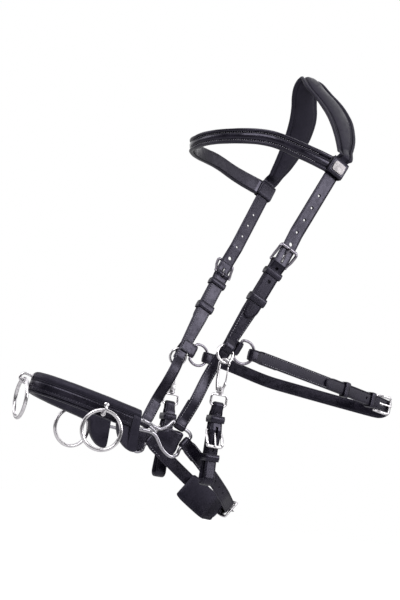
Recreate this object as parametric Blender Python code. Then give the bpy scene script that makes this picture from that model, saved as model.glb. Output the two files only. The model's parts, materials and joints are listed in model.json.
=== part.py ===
"""A lungeing cavesson bridle, standing as it hangs on a head. Metres, +Z up, +X the head's left, -Y forward.

The origin is the underside of the headpiece at the poll. Every strap is a ribbon lofted along its own path, so
folds round bars, eyes, laps, tapers and pointed ends are one method. The two sides are one design, mirrored.
"""

from math import atan2, cos, pi, radians, sin, sqrt, tan

import bmesh
import bpy
from mathutils import Matrix, Vector

for leftover in list(bpy.data.objects):
    bpy.data.objects.remove(leftover, do_unlink=True)

# Clearances and cuts
FIT = 0.0003
LOOSE = 0.0007

# Strap leather
LEATHER = 0.0026
CHEEK_WIDTH = 0.018
LOWER_WIDTH = 0.014
JOWL_WIDTH = 0.015
BIT_WIDTH = 0.0132
BIT_END_WIDTH = 0.0120
CHIN_WIDTH = 0.0155
HOLE_RADIUS = 0.0022
TIP_LENGTH = 0.013

# Line of the cheek straps
CHEEK_TOP = Vector((0.087, 0.0125, -0.120))
CHEEK_RAKE = radians(21.6)
CHEEK_LEAN = radians(5.7)
BILLET_TOP = 0.009
BILLET_DROP = 0.211
BILLET_RELEASE_DROP = 0.095
FIRST_HOLE_DROP = 0.043
HOLE_PITCH = 0.0171
HOLE_COUNT = 8
BUCKLED_HOLE = 5
CHAPE_DROP = 0.1375
BILLET_UNDER = 0.0042
RING_BULGE = 0.0046
RING_FOLD_WIDTH = 0.013
CHEEK_STANDOFF = 0.0036
UPPER_KEEPER_DROP = 0.1515
LOWER_KEEPER_DROP = 0.1870
TAPER_DROP = 0.240
BIT_RING_DROP = 0.2500
FRONT_LAYER_DROP = 0.2640
JOWL_DEE_DROP = 0.245
FRAME_DROP = 0.3545
FRAME_LAP = 0.030

# Headpiece and browband
POLL_HALF_WIDTH = 0.083
POLL_DEPTH = 0.112
POLL_THICKNESS = 0.0085
POLL_TAIL = 0.0036
POLL_TAIL_ROOT = 0.0130
POLL_TAIL_NECK = 0.0080
POLL_TAIL_DROP = 0.0105
POLL_ROOT_SET_BACK = 0.0020
# Across and down from the poll, then the front and rear edges, as shares of the half width and the depth.
POLL_LINE_SHARES = (
    (0.000, 0.038, -0.075, 0.160),
    (0.095, -0.012, -0.085, 0.205),
    (0.190, -0.105, -0.065, 0.260),
    (0.373, -0.281, 0.030, 0.370),
    (0.576, -0.486, 0.090, 0.405),
    (0.792, -0.733, 0.105, 0.360),
    (0.925, -0.905, 0.100, 0.285),
)
# The padded section, from a piped edge over the crown to the other and back along the lining.
POLL_SECTION_SHARES = (
    (-1, 0), (-0.95, 0.36), (-0.87, 0.30), (-0.82, 0.14), (-0.66, 0.40), (-0.25, 0.5), (0.25, 0.5), (0.66, 0.40),
    (0.82, 0.14), (0.87, 0.30), (0.95, 0.36), (1, 0), (0.90, -0.38), (0.5, -0.5), (-0.5, -0.5), (-0.90, -0.38),
)
LOOP_LENGTH = 0.021
LOOP_WALL = 0.0022
LOOP_DROP = 0.004
BROW_HALF_WIDTH = 0.088
BROW_REACH = 0.137
BROW_START = 0.0045
BROW_DROP = 0.1215
BROW_ARCH = 0.0150
BROW_HEIGHT = 0.0200
BROW_FRONT_HEIGHT = 0.0165
BROW_THICKNESS = 0.0072
BROW_LINING = 0.0014
BROW_END_ANGLE = radians(2.15)
BROW_RISE_SHARES = ((0, 0), (0.19, 0.52), (0.39, 1), (0.67, 0.80), (1, 0.55))
BROW_SHEAR_SHARE = 0.25
# The section from its top edge over the piped rolls and the ridge to the lower edge, and back along the inside.
BROW_SECTION_SHARES = (
    (1, 0), (0.93, 0.40), (0.76, 0.5), (0.58, 0.40), (0.48, 0.10), (0.36, 0.26), (0.02, 0.37), (-0.36, 0.24),
    (-0.54, 0.02), (-0.66, 0.26), (-0.82, 0.32), (-0.97, 0.10), (-1, -0.2), (-0.8, -0.5), (0.8, -0.5), (0.98, -0.3),
)
PLATE_LENGTH = 0.0150
PLATE_HEIGHT = 0.0120
PLATE_THICKNESS = 0.0012

# Buckles and keepers
CHEEK_BUCKLE_LENGTH = 0.0195
BIT_BUCKLE_LENGTH = 0.0170
JOWL_BUCKLE_LENGTH = 0.0190
CHIN_BUCKLE_LENGTH = 0.0200
BUCKLE_WIRE = 0.0014
TONGUE_THICKNESS = 0.0015
TONGUE_WIDTH = 0.0028
KEEPER_WALL = 0.0018
KEEPER_LENGTH = 0.008
BROAD_KEEPER_LENGTH = 0.010

# Rings, dees and snaps
BIT_RING_RADIUS = 0.0100
BIT_RING_WIRE = 0.0016
BIT_RING_TILT = radians(12)
DEE_RADIUS = 0.0132
DEE_WIRE = 0.0017
DEE_STANDOFF = 0.0122
DEE_CENTRE_SHARE = 0.62
TAB_LEATHER = 0.0020
TAB_WIDTH = 0.0155
SNAP_THROAT = 0.0040
SNAP_WIRE = 0.0016
SNAP_LENGTH = 0.0270
SNAP_SHANK = 0.0042
SNAP_TURN = radians(45)
GATE_WIRE = 0.0011
SWIVEL_HEIGHT = 0.0060
SWIVEL_STEM = 0.0014
SWIVEL_HEAD = 0.0021
EYE_WIDTH = 0.0190
EYE_HEIGHT = 0.0122
EYE_CORNER = 0.0032
EYE_WIRE = 0.0014

# Bit strap, measured down from the bar of the swivel's eye
BIT_HINGE_DROP = 0.0280
BIT_KEEPER_DROP = 0.0580
BIT_LOOP_RADIUS = 0.0066
BIT_LOOP_DROP = 0.0810
BIT_TIP_DROP = 0.0080

# Strap round the jowl, measured back from the dees
JOWL_TILT = radians(5.7)
JOWL_END_WIDTH = 0.0125
JOWL_BEND = (0.037, 0.141)
JOWL_HINGE = (0.0155, 0.2140)
JOWL_TURN_RADIUS = 0.0130
JOWL_SAG = 0.0075
JOWL_FOLD_HALF_GAP = 0.0045
JOWL_LAP = 0.026
JOWL_TIP_SHARE = 0.53
JOWL_KEEPER_SHARES = (0.645, 0.925)
JOWL_HOLE_SHARES = (0.86,)

# Noseband
NOSE_END_BACK = 0.0018
NOSE_END_DROP = 0.0043
NOSE_TILT = radians(12.0)
NOSE_HALF_WIDTH = 0.0512
NOSE_REACH = 0.1205
NOSE_PAD_HEIGHT = 0.0240
NOSE_PAD_THICKNESS = 0.0100
NOSE_BAND_HEIGHT = 0.0109
NOSE_BAND_THICKNESS = 0.0026
NOSE_BAND_DROP = 0.0032
NOSE_LOBE_DEPTH = 0.0220
NOSE_LOBE_LENGTH = 0.0260
NOSE_END_SHARES = (0, 0.08, 0.2, 0.4, 0.412, 0.43, 0.6, 0.76, 0.89, 0.97, 1.03)
NOSE_CAP_STATION = 3
NOSE_RING_RADIUS = 0.0215
NOSE_RING_WIRE = 0.0021
STAPLE_RADIUS = 0.0050
STAPLE_WIRE = 0.0016
STAPLE_REACH = 0.0080
CENTRE_STAPLE_REACH = 0.0130
CENTRE_STAPLE_RISE = 0.0035
SIDE_STAPLE_ANGLE = radians(22)

# Side frames, hung in the folds of the cheek straps. Shares are of the length, back, and of the height, up.
FRAME_LENGTH = 0.060
FRAME_HEIGHT = 0.036
FRAME_WIRE = 0.0020
FRAME_SET_IN = 0.0044
FRAME_SET_SHARES = (0.045, 0.24)
FRAME_FRONT_TOP_SHARES = (
    (-0.100, -0.07), (0.060, -0.07), (0.185, -0.14), (0.300, -0.22), (0.400, -0.235), (0.520, -0.13),
)
CHEEK_BAR_SHARES = (0.760, -0.0417)
CHEEK_BAR_REACH_SHARES = (0.69, 0.50, -0.60, -0.80)
FRAME_REAR_SHARES = (0.985, -0.215)
CHIN_BAR_SHARES = (0.9225, -0.540)
CHIN_BAR_REACH_SHARES = (0.72, 0, -0.72)
FRAME_UNDER_SHARES = (
    (0.800, -0.92), (0.700, -1.00), (0.600, -0.95), (0.480, -0.80), (0.390, -0.60), (0.310, -0.44),
    (0.200, -0.365), (0.060, -0.345), (-0.100, -0.32),
)

# Chin straps, measured down the plane that they lie in
CHIN_TILT = radians(36)
CHIN_END_WIDTH = 0.0130
CHIN_NEAR_BENDS = ((0.0490, 0.030), (0.0335, 0.087))
CHIN_FAR_BENDS = ((0.0490, 0.030), (0.0400, 0.092))
CHIN_BUCKLE_WAY = (0.97, -0.24)
CHIN_LEAD = 0.018
CHIN_HINGE = (-0.0095, 0.1085)
CHIN_LAP = 0.022
CHIN_TIP_SHARE = 0.66
CHIN_KEEPER_SHARE = 0.82
CHIN_HOLES = 6
CHIN_FIRST_HOLE_SHARE = 0.26
CHIN_HOLE_STEP_SHARE = 0.085
CHIN_PAD_SHARE = 0.42
CHIN_PAD_WIDTH = 0.035
CHIN_PAD_THICKNESS = 0.0040
CHIN_PAD_DROP = 0.0090

# Facets
ARC_STEPS = 5
WIRE_SIDES = 6
RING_STEPS = 28
NOSE_STEPS = 20
BROW_STEPS = 26
FRAME_SPAN_STEPS = 2

LAYER = (LEATHER + FIT) / 2
BILLET_LEVEL = LAYER + LEATHER + FIT
BAR_EYE = BUCKLE_WIRE + FIT + LEATHER / 2
BUCKLE_RISE = BILLET_UNDER + LEATHER / 2 + FIT + BUCKLE_WIRE
BEHIND_EYE = BAR_EYE + LEATHER + FIT
SIDES = (("near", 1), ("far", -1))


def collection(name):
    found = bpy.data.collections.new(name)
    bpy.context.scene.collection.children.link(found)
    return found


PARTS = collection("lungeing_cavesson_bridle")
CUTTERS = collection("cutters")


def material(name, color, roughness, metallic):
    made = bpy.data.materials.new(name)
    made.use_nodes = True
    shader = made.node_tree.nodes["Principled BSDF"]
    shader.inputs["Base Color"].default_value = (*color, 1)
    shader.inputs["Roughness"].default_value = roughness
    shader.inputs["Metallic"].default_value = metallic
    return made


STRAP_LEATHER = material("black_strap_leather", (0.018, 0.017, 0.021), 0.38, 0)
PAD_LEATHER = material("black_padded_leather", (0.024, 0.023, 0.028), 0.60, 0)
BRIGHT_STEEL = material("polished_steel", (0.72, 0.71, 0.72), 0.16, 1)
DARK_STEEL = material("darkened_steel", (0.16, 0.15, 0.17), 0.30, 1)


def anchor(name, parent=None, matrix=Matrix()):
    """An empty that carries a frame of reference or a joint's axis."""
    made = bpy.data.objects.new(name, None)
    made.empty_display_size = CHEEK_WIDTH
    PARTS.objects.link(made)
    made.parent = parent
    made.matrix_local = matrix
    return made


def add(name, mesh, finish, parent, matrix=Matrix()):
    made = bpy.data.objects.new(name, mesh)
    mesh.materials.clear()
    mesh.materials.append(finish)
    PARTS.objects.link(made)
    made.parent = parent
    made.matrix_local = matrix
    return made


def tool(name, mesh, parent, matrix=Matrix()):
    """A body that only cuts or joins."""
    made = bpy.data.objects.new(name, mesh)
    CUTTERS.objects.link(made)
    made.parent = parent
    made.matrix_local = matrix
    made.hide_render = True
    made.display_type = "WIRE"
    return made


def combine(target, other, operation):
    modifier = target.modifiers.new(operation.lower() + "_" + other.name, "BOOLEAN")
    modifier.operation = operation
    modifier.object = other


def finished(mesh):
    """The mesh with its doubles welded, its faces outwards and its round faces smooth."""
    work = bmesh.new()
    work.from_mesh(mesh)
    bmesh.ops.remove_doubles(work, verts=work.verts, dist=FIT / 10)
    bmesh.ops.recalc_face_normals(work, faces=work.faces)
    work.to_mesh(mesh)
    work.free()
    mesh.shade_smooth()
    mesh.set_sharp_from_angle(angle=radians(35))
    return mesh


def loft(name, rings, ring_closed=False):
    """A body through rings of equally many points, its ends capped unless the rings meet."""
    size = len(rings[0])
    count = len(rings)
    faces = []
    for i in range(count if ring_closed else count - 1):
        for j in range(size):
            k = (j + 1) % size
            after = (i + 1) % count
            faces.append((i * size + j, i * size + k, after * size + k, after * size + j))
    if not ring_closed:
        faces.append(tuple(range(size)))
        faces.append(tuple((count - 1) * size + j for j in range(size)))
    mesh = bpy.data.meshes.new(name)
    mesh.from_pydata([tuple(point) for ring in rings for point in ring], [], faces)
    return finished(mesh)


def arc(centre, radius, start, end, steps=ARC_STEPS):
    """Points of an arc about a centre, from one angle in degrees to another."""
    angles = [radians(start + (end - start) * i / steps) for i in range(steps + 1)]
    return [(centre[0] + radius * cos(a), centre[1] + radius * sin(a)) for a in angles]


def smooth(points, spans=3, closed=False):
    """Points of a Catmull-Rom curve through the given points."""
    knots = [Vector(point) for point in points]
    count = len(knots)
    made = []
    for i in range(count if closed else count - 1):
        a, b, c, d = (
            knots[(i + k) % count] if closed else knots[min(max(i + k, 0), count - 1)] for k in (-1, 0, 1, 2)
        )
        for step in range(spans):
            t = step / spans
            made.append(
                ((2 * b) + (c - a) * t + (2 * a - 5 * b + 4 * c - d) * t**2 + (3 * b - a - 3 * c + d) * t**3) / 2
            )
    return made if closed else made + [knots[-1]]


def bezier(points, share):
    """A point of the Bezier curve with these control points."""
    level = [Vector(point) for point in points]
    while len(level) > 1:
        level = [a.lerp(b, share) for a, b in zip(level, level[1:])]
    return level[0]


def strap(name, path, width, thickness=LEATHER):
    """A ribbon along a plane path, its width along local Z: a number, or a function of the station and its point."""
    points = [Vector((*point, 0)) for point in path]
    rings = []
    for i, point in enumerate(points):
        ahead = (points[min(i + 1, len(points) - 1)] - points[max(i - 1, 0)]).normalized()
        side = Vector((ahead.y, -ahead.x, 0)) * thickness / 2
        span = width(i, path[i]) if callable(width) else width
        up = Vector((0, 0, span / 2))
        rings.append((point + side + up, point - side + up, point - side - up, point + side - up))
    return loft(name, rings)


def pointed(path, width, length=TIP_LENGTH):
    """A width that narrows to a rounded point at the end of a path."""
    points = [Vector(point) for point in path]
    left = [0.0]
    for a, b in zip(reversed(points), list(reversed(points))[1:]):
        left.append(left[-1] + (a - b).length)
    left.reverse()
    return lambda i, point: width * sqrt(max(1 - max(1 - left[i] / length, 0) ** 2, (LEATHER / width) ** 2 / 2))


def eye(bar, radius, start, end):
    """A fold round a bar, between the angles at which the two layers leave it."""
    return arc(bar, radius, start, end, ARC_STEPS + 3)


def wire(name, points, radius, cyclic=False, sides=WIRE_SIDES):
    """Round wire along a path, with flat ends unless it closes on itself."""
    curve = bpy.data.curves.new(name, "CURVE")
    curve.dimensions = "3D"
    curve.bevel_depth = radius
    curve.bevel_resolution = sides // 2 - 2
    curve.use_fill_caps = not cyclic
    spline = curve.splines.new("POLY")
    spline.points.add(len(points) - 1)
    for point, at in zip(spline.points, points):
        point.co = (*at, 1)
    spline.use_cyclic_u = cyclic
    return converted(curve, name)


def converted(curve, name):
    """A curve's evaluated shape as a welded mesh."""
    source = bpy.data.objects.new(name, curve)
    bpy.context.scene.collection.objects.link(source)
    bpy.context.view_layer.update()
    mesh = bpy.data.meshes.new_from_object(source.evaluated_get(bpy.context.evaluated_depsgraph_get()))
    bpy.data.objects.remove(source)
    bpy.data.curves.remove(curve)
    mesh.name = name
    return finished(mesh)


def extruded(name, outlines, depth):
    """A flat outline, with any outlines inside it left open, thickened along local Z."""
    curve = bpy.data.curves.new(name, "CURVE")
    curve.dimensions = "2D"
    curve.fill_mode = "BOTH"
    curve.extrude = depth / 2
    for outline in outlines:
        spline = curve.splines.new("POLY")
        spline.points.add(len(outline) - 1)
        for point, at in zip(spline.points, outline):
            point.co = (at[0], at[1], 0, 1)
        spline.use_cyclic_u = True
    return converted(curve, name)


def cylinders(name, places, radius, length, sides=10):
    """Cylinders in one mesh, each at a matrix whose local Z is its axis."""
    work = bmesh.new()
    for place in places:
        bmesh.ops.create_cone(
            work, cap_ends=True, segments=sides, radius1=radius, radius2=radius, depth=length, matrix=place
        )
    mesh = bpy.data.meshes.new(name)
    work.to_mesh(mesh)
    work.free()
    return mesh


def box(name, low, high):
    work = bmesh.new()
    bmesh.ops.create_cube(work, size=1)
    for vertex in work.verts:
        for i in range(3):
            vertex.co[i] = high[i] if vertex.co[i] > 0 else low[i]
    mesh = bpy.data.meshes.new(name)
    work.to_mesh(mesh)
    work.free()
    return mesh


def ring(name, radius, thickness, steps=RING_STEPS, sides=8):
    """A round ring in the local XY plane."""
    bpy.ops.mesh.primitive_torus_add(
        major_radius=radius, minor_radius=thickness, major_segments=steps, minor_segments=sides
    )
    source = bpy.context.object
    mesh = source.data
    mesh.name = name
    bpy.data.objects.remove(source)
    return finished(mesh)


def punch(target, places, depth, radius=HOLE_RADIUS):
    """Round holes through a strap, each at a matrix whose local Z runs through it."""
    holes = tool(target.name + "_holes", cylinders(target.name + "_holes", places, radius, depth), target.parent)
    combine(target, holes, "DIFFERENCE")


def rounded_rectangle(low, high, corner, steps=2):
    """The outline of a rectangle with round corners."""
    (x0, y0), (x1, y1) = low, high
    outline = []
    for cx, cy, start in (
        (x1 - corner, y1 - corner, 0),
        (x0 + corner, y1 - corner, 90),
        (x0 + corner, y0 + corner, 180),
        (x1 - corner, y0 + corner, 270),
    ):
        outline += arc((cx, cy), corner, start, start + 90, steps)
    return outline


def keeper(name, inner, outer, width, length):
    """A leather loop round a stack of strap: its clear space runs from inner to outer along X, its length along Y."""
    half = width / 2 + FIT
    clear = ((inner - FIT, -half), (outer + FIT, half))
    wall = KEEPER_WALL
    band = ((clear[0][0] - wall, clear[0][1] - wall), (clear[1][0] + wall, clear[1][1] + wall))
    outlines = [rounded_rectangle(*band, wall), rounded_rectangle(*clear, wall / 4, 1)]
    mesh = extruded(name, outlines, length)
    mesh.transform(Matrix.Rotation(-pi / 2, 4, "X"))
    return mesh


def on(points, matrix):
    """Plane points carried into another plane frame."""
    return [(matrix @ Vector((x, y, 0))).to_2d() for x, y in points]


def turned(origin, direction):
    """The plane frame at a point whose local Y runs along a direction and whose X lies to the right of it."""
    ahead = Vector(direction).normalized()
    matrix = Matrix.Translation((*origin, 0))
    return matrix @ Matrix(((ahead.y, ahead.x, 0, 0), (-ahead.x, ahead.y, 0, 0), (0, 0, 1, 0), (0, 0, 0, 1)))


def buckle(prefix, frame, length, width, finish):
    """A wire frame and its tongue, the hinge bar at the frame's origin, X outwards and Y towards the end bar."""
    half = width / 2 + LOOSE + BUCKLE_WIRE
    corner = 2 * BUCKLE_WIRE
    side = [
        (0, 0, half - corner / 2),
        (0, corner / 2, half),
        (BUCKLE_RISE / 4, length / 4, half),
        (BUCKLE_RISE * 2 / 3, length / 2, half),
        (BUCKLE_RISE, length - corner, half),
        (BUCKLE_RISE, length - corner / 4, half - corner / 4),
        (BUCKLE_RISE, length, half - corner),
    ]
    loop = side + [(x, y, -z) for x, y, z in reversed(side)]
    add(prefix + "_buckle", wire(prefix + "_buckle", loop, BUCKLE_WIRE, cyclic=True), finish, frame)
    pivot = anchor(prefix + "_tongue_pivot", frame)
    reach = BUCKLE_WIRE + FIT + TONGUE_THICKNESS / 2
    rest = BUCKLE_RISE + reach
    curl = arc((0, 0), reach, -215, -35, 6)
    tip = [(rest, length - BUCKLE_WIRE), (rest, length + BUCKLE_WIRE / 2)]
    tongue = strap(prefix + "_tongue", curl + tip, TONGUE_WIDTH, TONGUE_THICKNESS)
    add(prefix + "_tongue", tongue, finish, pivot)


def over_buckle(length):
    """A billet's path past a buckle, in the buckle's frame: from the end bar, over the hinge bar, to its own level."""
    over = BEHIND_EYE
    return [
        (BILLET_UNDER, length + BUCKLE_WIRE),
        (BILLET_UNDER, length - 2 * BUCKLE_WIRE),
        (over, BUCKLE_WIRE),
        (over, -BUCKLE_WIRE),
        (BILLET_LEVEL, -BAR_EYE - 2 * LEATHER),
    ]


def slot(target, frame, near_end, far_end):
    """The opening that a buckle's tongue moves in, between two distances along the buckle's frame."""
    half = TONGUE_WIDTH / 2 + LOOSE
    low = (-BAR_EYE - (LEATHER + FIT) / 2, near_end, -half)
    high = (BUCKLE_RISE + BAR_EYE, far_end, half)
    name = target.name + "_slot"
    cutter = tool(name, box(name, low, high), frame)
    combine(target, cutter, "DIFFERENCE")


def chape_eye():
    """A fold round the hinge bar in the buckle's frame, from the inner layer to the outer one."""
    inner = [(-LAYER, -BAR_EYE - LEATHER)]
    outer = [(LAYER, -BAR_EYE - LEATHER)]
    return inner + eye((0, 0), BAR_EYE, 215, -35) + outer


def upright(rake, lean=0.0):
    """Orientation of a hanging strap: X outwards, Y up the strap, Z forwards."""
    return Matrix.Rotation(pi / 2 - rake, 4, "X") @ Matrix.Rotation(-lean, 4, "Z")


def across(depth, level=0.0, forward=0.0):
    """A cylinder's place in a hanging frame, its axis through the strap."""
    return Matrix.Translation((level, depth, forward)) @ Matrix.Rotation(pi / 2, 4, "Y")


def billet_and_buckle(side, cheek):
    """The punched billet, the buckle that holds it and the keepers round both."""
    hinge = anchor(side + "_cheek_buckle_bar", cheek, Matrix.Translation((0, -CHAPE_DROP, 0)))
    past = [(x, y - CHAPE_DROP) for x, y in over_buckle(CHEEK_BUCKLE_LENGTH)]
    path = [(0, BILLET_TOP), (0, -FIRST_HOLE_DROP), (0, -BILLET_RELEASE_DROP)]
    path += smooth([(0, -BILLET_RELEASE_DROP), *past], 3)[1:]
    path += [(BILLET_LEVEL, -BILLET_DROP + TIP_LENGTH * share) for share in (1, 0.6, 0.25, 0.05, 0)]
    mesh = strap(side + "_billet", path, pointed(path, CHEEK_WIDTH))
    made = add(side + "_billet", mesh, STRAP_LEATHER, cheek)
    slot(made, hinge, BUCKLE_WIRE / 2, CHEEK_BUCKLE_LENGTH * 0.58)
    drops = [FIRST_HOLE_DROP + HOLE_PITCH * i for i in range(HOLE_COUNT) if i != BUCKLED_HOLE]
    punch(made, [across(-drop, BILLET_UNDER / 2) for drop in drops], CHEEK_WIDTH)
    buckle(side + "_cheek", hinge, CHEEK_BUCKLE_LENGTH, CHEEK_WIDTH, DARK_STEEL)
    inner = -LAYER - LEATHER / 2
    outer = BILLET_LEVEL + LEATHER / 2
    upper = keeper(side + "_upper_keeper", inner, outer, CHEEK_WIDTH, KEEPER_LENGTH)
    add(side + "_upper_keeper", upper, STRAP_LEATHER, cheek, Matrix.Translation((0, -UPPER_KEEPER_DROP, 0)))
    lower = keeper(side + "_lower_keeper", inner, outer, CHEEK_WIDTH, BROAD_KEEPER_LENGTH)
    add(side + "_lower_keeper", lower, STRAP_LEATHER, cheek, Matrix.Translation((0, -LOWER_KEEPER_DROP, 0)))
    return hinge


def cheek_width(i, point):
    """Full width down to the lower keeper, then a taper to the bit ring."""
    drop = -point[1]
    start = LOWER_KEEPER_DROP + 2 * KEEPER_LENGTH
    share = min(max((drop - start) / (TAPER_DROP - start), 0), 1)
    width = CHEEK_WIDTH + (LOWER_WIDTH - CHEEK_WIDTH) * share
    if abs(drop - BIT_RING_DROP) < LOWER_WIDTH / 2:
        width = RING_FOLD_WIDTH
    if drop > FRAME_DROP - LOWER_WIDTH / 2:
        width = RING_FOLD_WIDTH
    return width


def cheekpiece(side, cheek, hinge):
    """One strap: lapped round the side frame, up to the buckle, folded round its bar and down to the bit ring."""
    rod = FRAME_WIRE + FIT + LEATHER / 2
    high = LAYER + RING_BULGE
    lap = [(-LAYER, -FRAME_DROP + FRAME_LAP), (-LAYER, -FRAME_DROP + rod + 2 * LEATHER)]
    fold = eye((0, -FRAME_DROP), rod, 140, 400)
    behind = smooth(
        [
            (LAYER, -FRAME_DROP + rod + 2 * LEATHER),
            (LAYER, -FRAME_DROP + FRAME_LAP + LEATHER),
            (-LAYER - CHEEK_STANDOFF * 0.7, -BIT_RING_DROP - 2 * BIT_RING_RADIUS * 2.3),
            (-LAYER - CHEEK_STANDOFF, -BIT_RING_DROP - 2 * BIT_RING_RADIUS * 1.3),
            (-LAYER, -FRONT_LAYER_DROP + LEATHER),
        ],
        3,
    )
    chape = [(x, y - CHAPE_DROP) for x, y in chape_eye()]
    wrap = smooth(
        [
            (LAYER, -BIT_RING_DROP + 0.80 * BIT_RING_RADIUS),
            (LAYER + RING_BULGE * 0.80, -BIT_RING_DROP + 0.33 * BIT_RING_RADIUS),
            (high, -BIT_RING_DROP + 0.04 * BIT_RING_RADIUS),
            (high, -BIT_RING_DROP - 0.27 * BIT_RING_RADIUS),
            (LAYER + RING_BULGE * 0.66, -BIT_RING_DROP - 0.54 * BIT_RING_RADIUS),
            (LAYER + RING_BULGE * 0.18, -BIT_RING_DROP - 0.70 * BIT_RING_RADIUS),
            (LAYER, -BIT_RING_DROP - 0.95 * BIT_RING_RADIUS),
        ],
        2,
    )
    path = lap + fold + behind
    path += [(-LAYER, -drop) for drop in (TAPER_DROP, LOWER_KEEPER_DROP + 2 * KEEPER_LENGTH)]
    path += chape
    path += [(LAYER, -drop) for drop in (LOWER_KEEPER_DROP + 2 * KEEPER_LENGTH,)]
    path += wrap + [(LAYER, -FRONT_LAYER_DROP)]
    mesh = strap(side + "_cheekpiece", path, cheek_width)
    made = add(side + "_cheekpiece", mesh, STRAP_LEATHER, cheek)
    slot(made, hinge, -BAR_EYE - LEATHER / 2, BAR_EYE + LEATHER)


def jowl_dee(side, cheek):
    """The dark dee behind the cheek strap and the tab that it turns in."""
    place = Matrix.Translation((0, -JOWL_DEE_DROP, 0)) @ Matrix.Rotation(-pi / 2, 4, "X")
    frame = anchor(side + "_dee_frame", cheek, place)
    level = -LAYER - LEATHER / 2 - FIT - TAB_LEATHER / 2
    reach = DEE_WIRE + FIT + TAB_LEATHER / 2
    bar = level + reach
    centre = DEE_STANDOFF + DEE_RADIUS * DEE_CENTRE_SHARE
    outline = arc((centre, 0), DEE_RADIUS, -128, 128, 14)
    loop = [(bar, y, z) for y, z in outline]
    add(side + "_jowl_dee", wire(side + "_jowl_dee", loop, DEE_WIRE, cyclic=True), DARK_STEEL, frame)
    path = [(level, -LOWER_WIDTH / 3), (level, DEE_STANDOFF - reach / 2)]
    path += eye((bar, DEE_STANDOFF), reach, 180, 0)
    path += [(bar + reach, DEE_STANDOFF - reach)]
    add(side + "_dee_tab", strap(side + "_dee_tab", path, TAB_WIDTH, TAB_LEATHER), STRAP_LEATHER, frame)


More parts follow.
